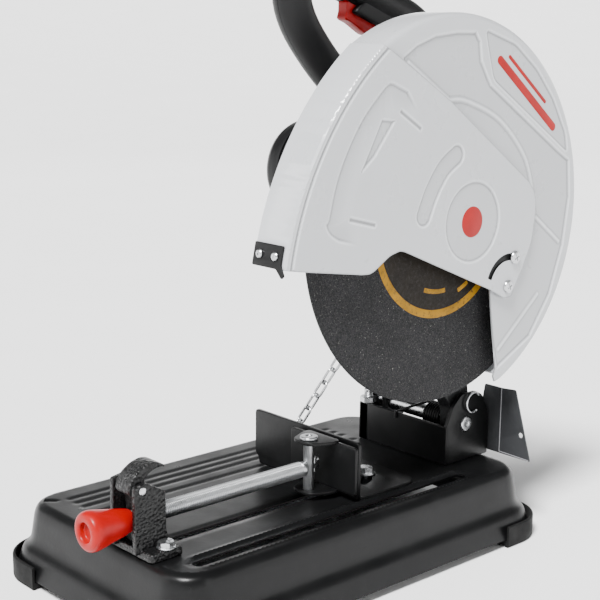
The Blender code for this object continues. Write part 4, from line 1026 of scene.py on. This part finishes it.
def make_gear_housing():
    """The casting: two hub lugs, a ribbed arm, the gear case and the round seat of the motor."""
    way = atan2(SPINDLE[1] - PIVOT[1], SPINDLE[0] - PIVOT[0])
    hub = arc(PIVOT, 0.016, way + pi / 2 + 0.3, way + 3 * pi / 2, 16)
    hub += [arm_point(0.045, -0.024), arm_point(0.07, -0.03), arm_point(0.07, 0.03)]
    hub += [arm_point(0.045, 0.016), arm_point(0.022, 0.0075)]
    bridge = rounded([arm_point(0.0425, -0.023), arm_point(0.07, -0.03), arm_point(0.07, 0.03),
                      arm_point(0.0425, 0.014)], 0.004, 4)
    parts = []
    hub = rounded(hub, 0.003, 3)
    for low, high in ((-0.0377, HUB_WINDOW[0]), (HUB_WINDOW[1], 0.066)):
        parts.append(plate("X", low, high, hub, [circle(PIVOT, 0.0083)], edge=0.0012, steps=3))
    parts.append(plate("X", -0.0377, 0.066, bridge, edge=0.0022, steps=4))
    beam = [arm_point(0.064, -0.029), arm_point(0.15, -0.038), arm_point(0.172, -0.04)]
    beam += [arm_point(0.172, 0.034), arm_point(0.15, 0.036), arm_point(0.064, 0.028)]
    parts.append(plate("X", -0.019, 0.049, rounded(beam, 0.006, 4), edge=0.0035, steps=5))
    for front in (-0.02, 0.0, 0.02):
        rib = [arm_point(0.06, front - 0.002), arm_point(0.165, front * 1.4 - 0.002)]
        rib += [arm_point(0.165, front * 1.4 + 0.002), arm_point(0.06, front + 0.002)]
        parts.append(plate("X", -0.0205, 0.0502, rib, edge=0.0009))
    back, down = cos(HEAD_TRAVEL), sin(HEAD_TRAVEL)
    corners = ((-0.034, 0.0183), (-0.019, 0.0183), (-0.019, 0.034), (-0.034, 0.034))
    pad = [(PIVOT[0] + y * back + z * down, PIVOT[1] - y * down + z * back) for y, z in corners]
    parts.append(plate("X", -0.054, -0.0305, rounded(pad, 0.002, 3), edge=0.0009, steps=3))
    inner = MOTOR_R - 0.004
    seat = [(inner, 0.012), (MOTOR_R, 0.012), (MOTOR_R, 0.0715), (MOTOR_R - 0.005, 0.0765), (0.0, 0.0765)]
    seat = turned("X", MOTOR, seat + [(0.0, 0.07), (inner, 0.07)], 72, 0.0012)
    lock_hole = ("Y", 0.05, 0.09, LOCK, 0.0045)
    parts.append(carve(seat, drill("X", 0.0125, 0.0695, SPINDLE, 0.0355), drill(*lock_hole)))
    case = [(0.034, 0.012), (0.038, 0.012), (0.038, 0.0735), (0.0345, 0.0772), (0.0163, 0.0772)]
    shell = turned("X", SPINDLE, case + [(0.0163, 0.069), (0.034, 0.069)], 64, 0.001)
    parts.append(carve(shell, drill(*lock_hole)))
    for angle in (35, 95, 155, 325):
        place = on_circle(MOTOR, 0.048, radians(angle))
        parts.append(rod("X", 0.014, 0.0745, place, 0.0062, 24, edge=0.001))
    done(together(*parts), "gear_case_and_arm", "cast_aluminium", "head", "gear_housing", smooth=32)
    collar = [(0.0092, 0.0568), (0.0104, 0.0568), (0.0108, 0.064), (0.0108, 0.0705)]
    collar += [(0.005, 0.0705), (0.005, 0.065), (0.0092, 0.065)]
    done(turned("Y", LOCK, collar), "lock_button_collar", "cast_aluminium", "head")
    lock = [(0, 0.05), (0.0072, 0.05), (0.0085, 0.0512), (0.0085, 0.056), (0.004, 0.056)]
    lock += [(0.004, 0.0775), (0, 0.0775)]
    grips = [rod("Y", 0.0514, 0.0556, place, 0.0006, 8) for place in circle(LOCK, 0.0083, 18)]
    lock = together(turned("Y", LOCK, lock), *grips)
    done(lock, "lock_button", "black_plastic", "lock_group", "spindle_lock")


def brush_box(half_x, start, end, half_z, edge=0.0006):
    """A box across Y, round the axis of the brushes."""
    return box((BRUSH_X - half_x, start, MOTOR[1] - half_z), (BRUSH_X + half_x, end, MOTOR[1] + half_z), edge)


def make_motor():
    """The motor's plastic body: a ring of louvres, long ribs, a vented end cover and two brush caps."""
    low, high = -0.0957, 0.0117
    inner, outer = MOTOR_R - 0.004, MOTOR_R
    tube = turned("X", MOTOR, [(inner, low), (outer - 0.0016, low), (outer - 0.0016, -0.062), (outer, -0.06),
                               (outer, high), (inner, high)], 96, 0.0006)
    cutters = []
    for i in range(18):
        angle = CIRCLE * (i + 0.5) / 18
        slot = plate("Y", -0.006, 0.006, stadium((-0.002, 0), (0.007, 0), 0.0021, 6), edge=0.0001)
        cutters.append(moved(slot, tipped(on_circle(MOTOR, 0.051, angle), angle)))
    for way in (-1, 1):
        start, end = sorted((MOTOR[0] + way * 0.04, MOTOR[0] + way * 0.06))
        cutters.append(drill("Y", start, end, (BRUSH_X, MOTOR[1]), 0.0078))
    tube = carve(tube, *cutters)
    ribs = []
    for i in range(24):
        angle = CIRCLE * (i + 0.25) / 24
        if abs(sin(angle)) < 0.22:
            continue
        rib = box((-0.056, -0.0008, -0.0007), (-0.008, 0.0008, 0.0007), 0.0006)
        ribs.append(moved(rib, tipped(on_circle(MOTOR, outer - 0.0007, angle), angle)))
    done(together(tube, *ribs), "louvred_motor_body", "black_plastic", "head", "motor_housing", smooth=32)
    profile = [(0, -0.12), (0.023, -0.12), (0.024, -0.1188), (0.037, -0.1188), (0.038, -0.12)]
    profile += [(0.042, -0.1198), (0.0485, -0.1168), (0.0514, -0.111), (0.052, -0.104), (0.052, -0.096)]
    profile += [(0.0475, -0.096), (0.0475, -0.111), (0.014, -0.1155), (0.014, -0.105)]
    profile += [(0.0098, -0.105), (0.0098, -0.1165), (0, -0.1165)]
    cover = turned("X", MOTOR, profile, 96, 0.0006)
    cutters = []
    for i in range(20):
        slot = plate("X", -0.13, -0.108, stadium((0.0255, 0), (0.0355, 0), 0.0016, 6), edge=0.0001)
        cutters.append(moved(slot, tipped(MOTOR, CIRCLE * i / 20)))
    cover = carve(cover, *cutters)
    screws = [hexagon("X", -0.1187, -0.1199, on_circle(MOTOR, 0.0185, radians(angle)), 0.0024)
              for angle in (45, 225)]
    done(together(cover, *screws), "vented_end_cover", "black_plastic", "head", "motor_end_cover", smooth=32)
    for name, way in (("front", -1), ("rear", 1)):
        start, end = sorted((MOTOR[0] + way * 0.0135, MOTOR[0] + way * 0.044))
        carbon = brush_box(0.003, start, end, 0.003)
        face, under = MOTOR[0] + way * 0.0525, MOTOR[0] + way * 0.043
        profile = [(0, under), (0.0075, under), (0.0075, face - way * 0.001), (0.0066, face), (0, face)]
        cap = turned("Y", (BRUSH_X, MOTOR[1]), profile)
        start, end = sorted((face - way * 0.0016, face + way * 0.01))
        notch = brush_box(0.0062, start, end, 0.0009, 0.0001)
        done(together(carve(cap, notch), carbon), f"brush_cap_{name}", "black_plastic", "head",
             f"brush_holder_{name}")


GRIP_CORNERS = (
    (0.096, 0.4425), (0.066, 0.466), (0.036, 0.494), (0.012, 0.524), (0.0035, 0.55), (0.013, 0.569),
    (0.038, 0.5725), (0.074, 0.5605), (0.128, 0.5405), (0.166, 0.525), (0.189, 0.504), (0.194, 0.476),
    (0.186, 0.4525), (0.16, 0.4415), (0.128, 0.439),
)


def make_handle():
    """The D handle: two shells that meet on a fine groove, screws, the trigger and the cord's gland."""
    route = [(0, y, z) for y, z in flowing(GRIP_CORNERS, 4, cyclic=True)]
    hump = rounded([(0.073, 0.534), (0.126, 0.5145), (0.15, 0.53), (0.1, 0.556)], 0.006, 4)
    screws = ((0.0245, 0.508), (0.018, 0.565), (0.152, 0.53), (0.193, 0.486), (0.142, 0.4405))
    for side, sign in (("left", -1), ("right", 1)):
        shell = wire(route, GRIP_R - 0.0001, 9, cyclic=True)
        shell = carve(shell, plate("X", -0.014, 0.014, hump, edge=0.003, steps=4), operation="UNION")
        pocket = [(0.0655, 0.51), (0.1175, 0.506), (0.1175, 0.5495), (0.09, 0.556), (0.0655, 0.556)]
        cutters = [drill("X", -0.1, 0.1, MOTOR, MOTOR_R + GAP, 96), plate("X", -0.0072, 0.0072, pocket)]
        cutters.append(box((-0.0085, 0.117, 0.523), (0.0085, 0.146, 0.545)))
        keep = sorted((sign * 0.00025, sign * 0.05))
        cutters += [drill("X", -0.03, -0.013, place, 0.0034, 24) for place in screws if sign < 0]
        shell = carve(shell, box((keep[0], -0.1, 0.35), (keep[1], 0.4, 0.7)), operation="INTERSECT")
        shell = carve(shell, *cutters)
        for vertex in shell.data.vertices:
            vertex.co.z -= CROWN_PRESS * max(0, vertex.co.z - CROWN_FROM)
        done(shell, f"grip_shell_{side}", "black_plastic", "head", f"handle_shell_{side}", smooth=28)
    heads = []
    for y, z in screws:
        cross = [box((-0.02, y - across, z - up), (-0.0136, y + across, z + up), 0.0001)
                 for across, up in ((0.0022, 0.0004), (0.0004, 0.0022))]
        heads.append(carve(rod("X", -0.0142, -0.0125, (y, z), 0.0031, 24), *cross))
    done(together(*heads), "grip_screws", "steel", "head")
    outline = [(0.0668, 0.5275), (0.0695, 0.534), (0.0695, 0.5462), (0.08, 0.5475), (0.1125, 0.538)]
    outline += [(0.1128, 0.5236), (0.1071, 0.512), (0.0985, 0.512), (0.089, 0.5172), (0.078, 0.5235)]
    trigger = plate("X", -0.0068, 0.0068, rounded(outline, 0.004, 5, least=0.05), edge=0.0016, steps=5)
    done(trigger, "red_trigger", "red_plastic", "trigger_group", "trigger")
    profile = [(0, 0.2115), (0.0085, 0.2115), (0.0085, 0.223), (0.0078, 0.224), (0.0072, 0.224)]
    profile += [(0.0078, 0.2252), (0.0074, 0.2264), (0.0068, 0.2264), (0.0074, 0.2278), (0.007, 0.2292)]
    profile += [(0.0063, 0.2292), (0.0068, 0.2306), (0.0064, 0.233), (0.0035, 0.233), (0.0035, 0.23)]
    profile += [(0, 0.23)]
    done(turned("Y", (0, 0.47), profile, 48, 0.0004), "ribbed_cord_gland", "rubber", "head", "cord_gland")


# ---------------------------------------------------------------- guards


SLOT_SCREW = on_circle(COVER_PIVOT, COVER_SLOT_R, COVER_SLOT_START)


def polar(centre, points):
    """Each point's distance and angle from a centre, the angle from -150 to 210 degrees."""
    run = np.asarray(points) - np.asarray(centre)
    angle = np.arctan2(run[:, 1], run[:, 0])
    return np.hypot(run[:, 0], run[:, 1]), np.where(angle < radians(-150), angle + CIRCLE, angle)


def rolled_edge(depth_in, radius):
    """How far a sheet has turned down where it is this far in from its bent edge."""
    short = np.clip(radius - depth_in, 0, radius)
    return radius - np.sqrt(np.clip(radius**2 - short**2, 0, None))


def side_sheet(outline, holes, emboss, face, centre, edge_r, roll, span, low, thickness):
    """A guard's flat side with pressed relief; its arc edge rolls over into a band that ends at low."""
    places, faces = meshed(refined(outline, 0.006), holes, GUARD_GRID)
    far, angle = polar(centre, places)
    depth_in = edge_r - far
    on_arc = (angle > span[0] - 0.12) & (angle < span[1] + 0.02)
    lift = face + emboss(places) * smooth(depth_in / roll - 0.6)
    lift -= np.where(on_arc, rolled_edge(depth_in, roll), 0)

    def at_edge(co):
        reach, turn = polar(centre, [tuple(co)[:2]])
        return abs(reach[0] - edge_r) < 0.0004 and span[0] - 1e-4 < turn[0] < span[1] + 1e-4

    # Painted shade and highlight along the pressed relief, faded out near the rolled arc edge.
    shade_marks = painted_relief_shade(emboss, places) * smooth(depth_in / roll)
    # A painted shadow line along the sheet's cut edges, left off where the arc edge rolls over.
    edge_shadow_line = smooth(1 - distance(places, outline, True) / 0.0013)
    shade_marks += np.where(on_arc & (depth_in < 0.004), 0, edge_shadow_line)
    return skin(places, faces, lift, thickness, [(at_edge, low)], shade_marks)


PRESS = 0.0012  # how deep the movable guard's relief goes


def cover_relief(places):
    """The pressed ribs and panels of the movable guard, from its left edge to the rear."""
    rim_rib = [(0.0337, 0.4652), (0.0161, 0.4712), (0.0082, 0.4706), (-0.0082, 0.4562), (-0.0211, 0.4427)]
    rim_rib += [(-0.0337, 0.4247), (-0.0461, 0.4022), (-0.0542, 0.381), (-0.0601, 0.3581)]
    rim_rib += [(-0.0632, 0.3522), (-0.0577, 0.3438), (-0.0478, 0.338)]
    panel = flowing(rim_rib[1:], 4) + [(0.0, 0.325), (0.03, 0.35), (0.06, 0.43), (0.034, 0.464)]
    near_rib = smooth(1 - distance(places, flowing(rim_rib, 4)) / 0.026)
    height = step_up(places, panel, 0.0036, -PRESS) * near_rib
    blade = [(0.0024, 0.4402), (0.0173, 0.4388), (-0.0067, 0.4091), (-0.0219, 0.3967)]
    height += step_up(places, blade, 0.003, -0.0011)
    height += bead(places, [(0.0267, 0.4464), (0.0517, 0.431)], 0.003, -0.0011)
    height += bead(places, [(-0.034, 0.355), (-0.0048, 0.3477)], 0.003, -0.0011)
    kidney = flowing([(0.103, 0.4035), (0.0857, 0.392), (0.0701, 0.3714), (0.06, 0.35)], 8)
    reach = distance(places, kidney)
    height -= PRESS * smooth((0.0095 - reach) / 0.003 + 0.5)
    away, _ = polar(SPOT_CENTRE, places)
    height -= PRESS * smooth((0.0385 - away) / 0.0032 + 0.5)
    away, _ = polar(COVER_PIVOT, places)
    height -= 0.001 * smooth(1 - abs(COVER_ARC_R - 0.0065 - away) / 0.0026)
    return np.maximum(height, -PRESS)


def make_guard_cover():
    """The guard that swings up: its side bends over into the wide band at the front."""
    arc_in = arc(COVER_PIVOT, COVER_ARC_R, *COVER_ARC, 60)
    side = [(0.0297, 0.4908), (0.0936, 0.4534), (0.214, 0.371), (0.222, 0.362), (0.2264, 0.351)]
    side += [(0.2263, 0.3356), (0.222, 0.309), (0.209, 0.2825), (0.1995, 0.2685), (0.1935, 0.2565)]
    side += [(0.182, 0.256), (0.1599, 0.2676), (0.036, 0.3188), (0.0293, 0.3207), (0.016, 0.3175)]
    side += [(-0.0034, 0.3057), (-0.0097, 0.3035), (-0.0194, 0.3042), (-0.0843, 0.3142)]
    spare = 0.13
    start, end = COVER_SLOT_START - spare, COVER_SLOT_START + COVER_SWING + spare
    slot = rounded(arc_band(COVER_PIVOT, COVER_SLOT_R, 0.0036, start, end, 24), 0.003, 4)
    outline = arc_in + rounded(side, 0.003, 2, cyclic=False)

    def relief(places):
        near_slot = distance(places, arc(COVER_PIVOT, COVER_SLOT_R, start, end, 16))
        return cover_relief(places) * smooth((near_slot - 0.007) / 0.004)

    cover = side_sheet(outline, [circle(COVER_PIVOT, 0.0033, 20), slot], relief, COVER_FACE, COVER_PIVOT,
                       COVER_ARC_R, 0.002, COVER_ARC[::-1], COVER_LOW, COVER_SHEET)
    done(cover, "swinging_guard", "white_paint", "cover", "guard_cover", smooth=34)
    under = arc_band(COVER_PIVOT, COVER_SLOT_R, 0.0055, start - 0.02, end + 0.02, 24)
    slide = plate("X", CASE_FACE - 0.0009, CASE_FACE, rounded(under, 0.003, 4),
                  [circle(SLOT_SCREW, 0.0031, 20)], edge=0.0001)
    done(slide, "slot_wear_plate", "black_plastic", "head")
    face = COVER_FACE - 0.0013
    spot = plate("X", face, face + 0.0003, circle(SPOT_CENTRE, 0.015, 48), edge=0.0001)
    done(spot, "plain_red_spot", "red_plastic", "cover")


CASE_BEAD = 0.001


def case_relief(places):
    """The raised rim, the recessed field and the ribs pressed into the fixed guard."""
    field = [(0.0311, 0.4941), (0.048, 0.5045), (0.0724, 0.5127), (0.1014, 0.5159), (0.1277, 0.516)]
    field += [(0.1339, 0.508), (0.137, 0.4896), (0.1521, 0.467), (0.2644, 0.3974), (0.2809, 0.3882)]
    field += [(0.285, 0.35), (0.278, 0.3), (0.26, 0.25), (0.23, 0.21), (0.18, 0.185)]
    field += [(0.15, 0.3), (0.1, 0.38), (0.03, 0.43)]
    height = step_up(places, field, 0.0036, -0.0015)
    plaque = [(0.142, 0.519), (0.147, 0.5019), (0.1565, 0.472), (0.278, 0.3965), (0.274, 0.4159)]
    plaque += [(0.2509, 0.4516), (0.2226, 0.481), (0.1875, 0.5055)]
    height += step_up(places, rounded(plaque, 0.006, 4), 0.003, -0.0012)
    height += bead(places, [(0.0382, 0.4894), (0.0916, 0.4562)], 0.0038, CASE_BEAD)
    sweep = flowing([(0.0954, 0.4549), (0.12, 0.4529), (0.1682, 0.4336), (0.2079, 0.3979), (0.2232, 0.365),
                     (0.2297, 0.3374)], 6)
    height += bead(places, sweep, 0.0038, CASE_BEAD)
    height += bead(places, [(0.2322, 0.3331), (0.2724, 0.3043)], 0.0034, CASE_BEAD)
    height += bead(places, [(0.2408, 0.2519), (0.1817, 0.2034)], 0.0038, CASE_BEAD)
    return np.minimum(height, CASE_BEAD)


def make_blade_case():
    """The fixed guard: the half of its face that stays, rolled over into the rim, and a back sheet."""
    start, end = radians(-63.5), radians(122)
    rim = arc(CASE, CASE_R, start, end, 110)
    inner = [(0.0165, 0.478), (0.062, 0.42), (0.107, 0.402), (0.15, 0.385), (0.168, 0.345)]
    inner += [(0.166, 0.3), (0.165, 0.263), (0.1745, 0.205), (0.1765, 0.184), (0.1735, 0.1765)]
    inner.append((0.176, 0.1705))
    holes = [circle(COVER_PIVOT, 0.0031, 20), circle(SLOT_SCREW, 0.0031, 20)]
    shell = side_sheet(rim + inner, holes, case_relief, CASE_FACE - CASE_BEAD, CASE, CASE_R, 0.006,
                       (start, end), CASE_LOW, GUARD_SHEET)
    done(shell, "fixed_guard", "white_paint", "head", "blade_case", smooth=34)
    face = CASE_FACE - CASE_BEAD - 0.0013
    wide = stadium((0.166, 0.4905), (0.253, 0.4235), 0.0042)
    narrow = stadium((0.18, 0.4935), (0.238, 0.449), 0.0018)
    bars = [plate("X", face, face + 0.0004, outline, edge=0.0001) for outline in (wide, narrow)]
    done(together(*bars), "plain_red_stripes", "red_plastic", "head")
    back = arc(CASE, CASE_R - 0.0012, start, end, 60) + arc(CASE, CASE_R - 0.005, end, radians(186), 30)
    back += [(-0.03, 0.312), (0.03, 0.296), (0.1, 0.283), (0.14, 0.268), (0.168, 0.235), (0.18, 0.178)]
    places, faces = meshed(refined(back, 0.008), [circle(SPINDLE, 0.023, 48)], 0.004)
    away, _ = polar(SPINDLE, places)
    lift = CASE_LOW + 0.0016 + 0.0012 * smooth((0.06 - away) / 0.004 + 0.5)
    lift += bead(places, arc(CASE, 0.15, radians(-40), radians(170), 40), 0.005, 0.0012)
    sheet = skin(places, faces, lift, GUARD_SHEET)
    done(sheet, "guard_back_sheet", "white_paint", "head", smooth=34)
    bolts = [hexagon("X", CASE_LOW + 0.0028, CASE_LOW + 0.0062,
                     on_circle(SPINDLE, 0.031, a), 0.0042)
             for a in (radians(45), radians(135), radians(225), radians(315))]
    done(together(*bolts), "guard_fixing_bolts", "zinc_steel", "head")
    for name, centre in (("cover_pivot_screw", COVER_PIVOT), ("cover_slot_screw", SLOT_SCREW)):
        profile = [(0, 0.1236), (0.0066, 0.1236), (0.0068, 0.124), (0.006, 0.1255)]
        profile += [(0.0035, 0.1262), (0, 0.1262)]
        head = turned("X", centre, profile, 48, 0.0002)
        cutters = []
        for turn in (0.4, 0.4 + pi / 2):
            groove = box((0.1252, -0.0034, -0.0007), (0.13, 0.0034, 0.0007), 0.0001)
            cutters.append(moved(groove, tipped(centre, turn)))
        screw = together(carve(head, *cutters), rod("X", 0.113, 0.124, centre, 0.0028))
        done(screw, f"cross_head_{name}", "zinc_steel", "head", name)


def make_deflector():
    """The small black plate at the band's lower end, with its two screws."""
    angle = radians(168.3)
    lean = tipped(on_circle(COVER_PIVOT, COVER_ARC_R + GAP, angle), angle - pi)
    outline = [(0.081, 0.01), (0.118, 0.01), (0.118, -0.007), (0.124, -0.015), (0.121, -0.018)]
    outline += [(0.112, -0.0105), (0.081, -0.0105)]
    places = ((0.0895, 0.0), (0.1095, 0.0))
    holes = [circle(place, 0.0025, 16) for place in places]
    piece = plate("Y", -0.0016, 0, rounded(outline, 0.0015, 3), holes, edge=0.0004)
    done(moved(piece, lean), "deflector", "black_paint", "cover", "deflector_plate")
    for side, (x, up) in zip(("left", "right"), places):
        top, under = -0.0022 - 0.0016 - GAP, -0.0016 - GAP
        profile = [(0, under), (0.004, under), (0.0038, top + 0.001), (0.0026, top), (0.0014, top)]
        profile += [(0.001, top + 0.0012), (0, top + 0.0012)]
        shank = rod("Y", under - 0.0002, 0.006, (x, up), 0.0019, 20)
        screw = together(turned("Y", (x, up), profile, 40, 0.0002), shank)
        done(moved(screw, lean), f"pan_head_screw_{side}", "zinc_steel", "cover", f"deflector_screw_{side}")


# ---------------------------------------------------------------- wheel


def make_wheel():
    low, high = WHEEL_X - WHEEL_THICK / 2, WHEEL_X + WHEEL_THICK / 2
    profile = [(0.0124, low), (WHEEL_R - 0.0004, low), (WHEEL_R, low + 0.0004), (WHEEL_R, high - 0.0004)]
    profile += [(WHEEL_R - 0.0004, high), (0.0124, high)]
    done(turned("X", SPINDLE, profile, 180, 0), "cutting_wheel", "abrasive", "spindle_group", "abrasive_disc")
    under, ink, paper_top = high + 0.0001, high + 0.00025, high + 0.00018
    ring = [(0.086, under), (0.094, under), (0.0937, ink), (0.0863, ink)]
    done(turned("X", SPINDLE, ring, 160, 0), "label_gold_ring", "gold_print", "spindle_group")
    paper = [(0.04, under), (0.086, under), (0.086, paper_top), (0.04, paper_top)]
    done(turned("X", SPINDLE, paper, 160, 0), "label_paper", "label_paper", "spindle_group")
    marks = []
    bars = [(100, 10, 0.07), (118, 5, 0.076), (128, 22, 0.066), (160, 8, 0.074), (250, 26, 0.068)]
    bars += [(290, 12, 0.075), (20, 16, 0.071), (50, 6, 0.064), (335, 9, 0.067)]
    for start, size, radius in bars:
        band = arc_band(SPINDLE, radius, 0.0022, radians(start), radians(start + size), 14)
        marks.append(plate("X", high + 0.00019, high + 0.00026, band, edge=0.00001))
    done(together(*marks), "label_blank_bars", "gold_print", "spindle_group")
    outer = [(0.0083, high + 0.0013), (0.034, high + 0.0013), (0.034, high + GAP), (0.04, high + GAP)]
    outer += [(0.04, high + 0.003), (0.0385, high + 0.0038), (0.02, high + 0.006), (0.0083, high + 0.006)]
    inner = [(0.0083, 0.0908), (0.018, 0.0908), (0.04, 0.0958), (0.04, low - GAP), (0.034, low - GAP)]
    inner += [(0.034, low - 0.0013), (0.0083, low - 0.0013)]
    for name, profile in (("outer", outer), ("inner", inner)):
        flange = turned("X", SPINDLE, profile, 80)
        done(flange, f"turned_{name}_flange", "steel", "spindle_group", f"{name}_flange")
    bolt = together(
        hexagon("X", high + 0.0065, high + 0.0125, SPINDLE, 0.0075),
        rod("X", 0.09, high + 0.007, SPINDLE, 0.0043),
        rod("X", high + 0.0061, high + 0.0068, SPINDLE, 0.0088, edge=0.0002),
    )
    done(bolt, "hex_wheel_bolt", "zinc_steel", "spindle_group", "disc_bolt")


# ---------------------------------------------------------------- studio


def make_studio():
    """A pale floor that rises gently far away, one broad sun-like key, two soft boxes and an even sky."""
    rings = [0.0] + [FLOOR_FLAT * step / 4 for step in range(1, 5)]
    rings += [FLOOR_FLAT + (FLOOR_REACH - FLOOR_FLAT) * step / 24 for step in range(1, 25)]
    turns = 64
    points, faces = [(0, 0, 0)], []
    for ring, reach in enumerate(rings[1:]):
        rise = FLOOR_RISE * max(0, (reach - FLOOR_FLAT) / (FLOOR_REACH - FLOOR_FLAT)) ** 2
        points += [(*co, rise) for co in circle((0, 0), reach, turns)]
        for turn in range(turns):
            here, there = 1 + ring * turns + turn, 1 + ring * turns + (turn + 1) % turns
            faces.append((0, here, there) if ring == 0 else (here - turns, here, there, there - turns))
    mesh = bpy.data.meshes.new("studio_floor")
    mesh.from_pydata(points, [], faces)
    mesh.shade_smooth()
    floor = new_object("studio_floor", mesh)
    made = Nodes("pale_floor")
    made.colour(made.ramp(made.noise(3, 3), [(0.3, (0.93, 0.93, 0.93)), (0.7, (0.95, 0.95, 0.95))]))
    made.set(Roughness=0.7, Specular_IOR_Level=0.2)
    mesh.materials.append(made.material)
    floor.location.z = -0.0003
    world = bpy.data.worlds.new("studio")
    bpy.context.scene.world = world
    world.use_nodes = True
    sky = world.node_tree.nodes["Background"]
    sky.inputs["Color"].default_value = (1.0, 1.0, 1.0, 1)
    sky.inputs["Strength"].default_value = SKY
    key = bpy.data.lights.new("key", "SUN")
    key.energy, key.angle = KEY_STRENGTH, KEY_WIDTH
    obj = new_object("key", key)
    obj.rotation_mode = "QUATERNION"
    obj.rotation_quaternion = Vector(KEY_FROM).to_track_quat("Z", "Y")
    for name, place, size, power in LAMPS:
        lamp = bpy.data.lights.new(name, "AREA")
        lamp.shape = "RECTANGLE"
        lamp.size, lamp.size_y = size
        lamp.energy = power
        obj = new_object(name, lamp)
        obj.location = place
        obj.rotation_mode = "QUATERNION"
        obj.rotation_quaternion = (Vector(place) - Vector((0, 0, 0.25))).to_track_quat("Z", "Y")


FLOOR_FLAT, FLOOR_REACH, FLOOR_RISE = 4.0, 30.0, 7.0
SKY = 0.22
KEY_FROM, KEY_STRENGTH, KEY_WIDTH = (0.26, -0.62, 1.0), 9.5, radians(16)
LAMPS = (  # name, place, size, watts
    ("front_left", (-1.1, -2.0, 1.3), (0.9, 1.4), 16),
    ("right", (2.4, 0.5, 1.1), (0.7, 1.6), 10),
    ("behind_left", (-2.8, 2.6, 1.55), (2.6, 0.9), 11),
)
EYE = Vector((0.9214, -0.819, 0.5208))
YAW, PITCH, ROLL = radians(47.65), radians(12.08), radians(0.63)
LENS, SENSOR = 77.5, 36.0
OFF_CENTRE = 2 / 600


def make_camera():
    camera = bpy.data.cameras.new("camera")
    camera.lens, camera.sensor_width = LENS, SENSOR
    camera.shift_x, camera.shift_y = -OFF_CENTRE, OFF_CENTRE
    camera.clip_start, camera.clip_end = 0.05, 200
    obj = new_object("camera", camera)
    back = Vector((sin(YAW) * cos(PITCH), -cos(YAW) * cos(PITCH), sin(PITCH)))
    level = Vector((cos(YAW), sin(YAW), 0))
    rise = back.cross(level)
    across = level * cos(ROLL) + rise * sin(ROLL)
    up = rise * cos(ROLL) - level * sin(ROLL)
    turn = Matrix((across, up, back)).transposed().to_4x4()
    obj.matrix_world = Matrix.Translation(EYE + SHIFT) @ turn
    bpy.context.scene.camera = obj


def finish_frame_nodes():
    """The frame's pieces that stay in view, most of them inside the machine, get the same finishes."""
    slots = {part["node"]: part["material_slot"] for part in frame["record"]["subparts"]}
    for name, node in frame["nodes"].items():
        node.data.materials.clear()
        node.data.materials.append(FINISH[slots[name]])


for make in (
    make_base_pan, make_feet, make_vise_bracket, make_nut_lever, make_fence, make_jaw, make_vise_screw,
    make_pivot_bracket, make_spark_guard, make_return_spring, make_chain, make_gear_housing, make_motor,
    make_handle, make_guard_cover, make_blade_case, make_deflector, make_wheel, finish_frame_nodes,
    make_studio, make_camera,
):
    make()
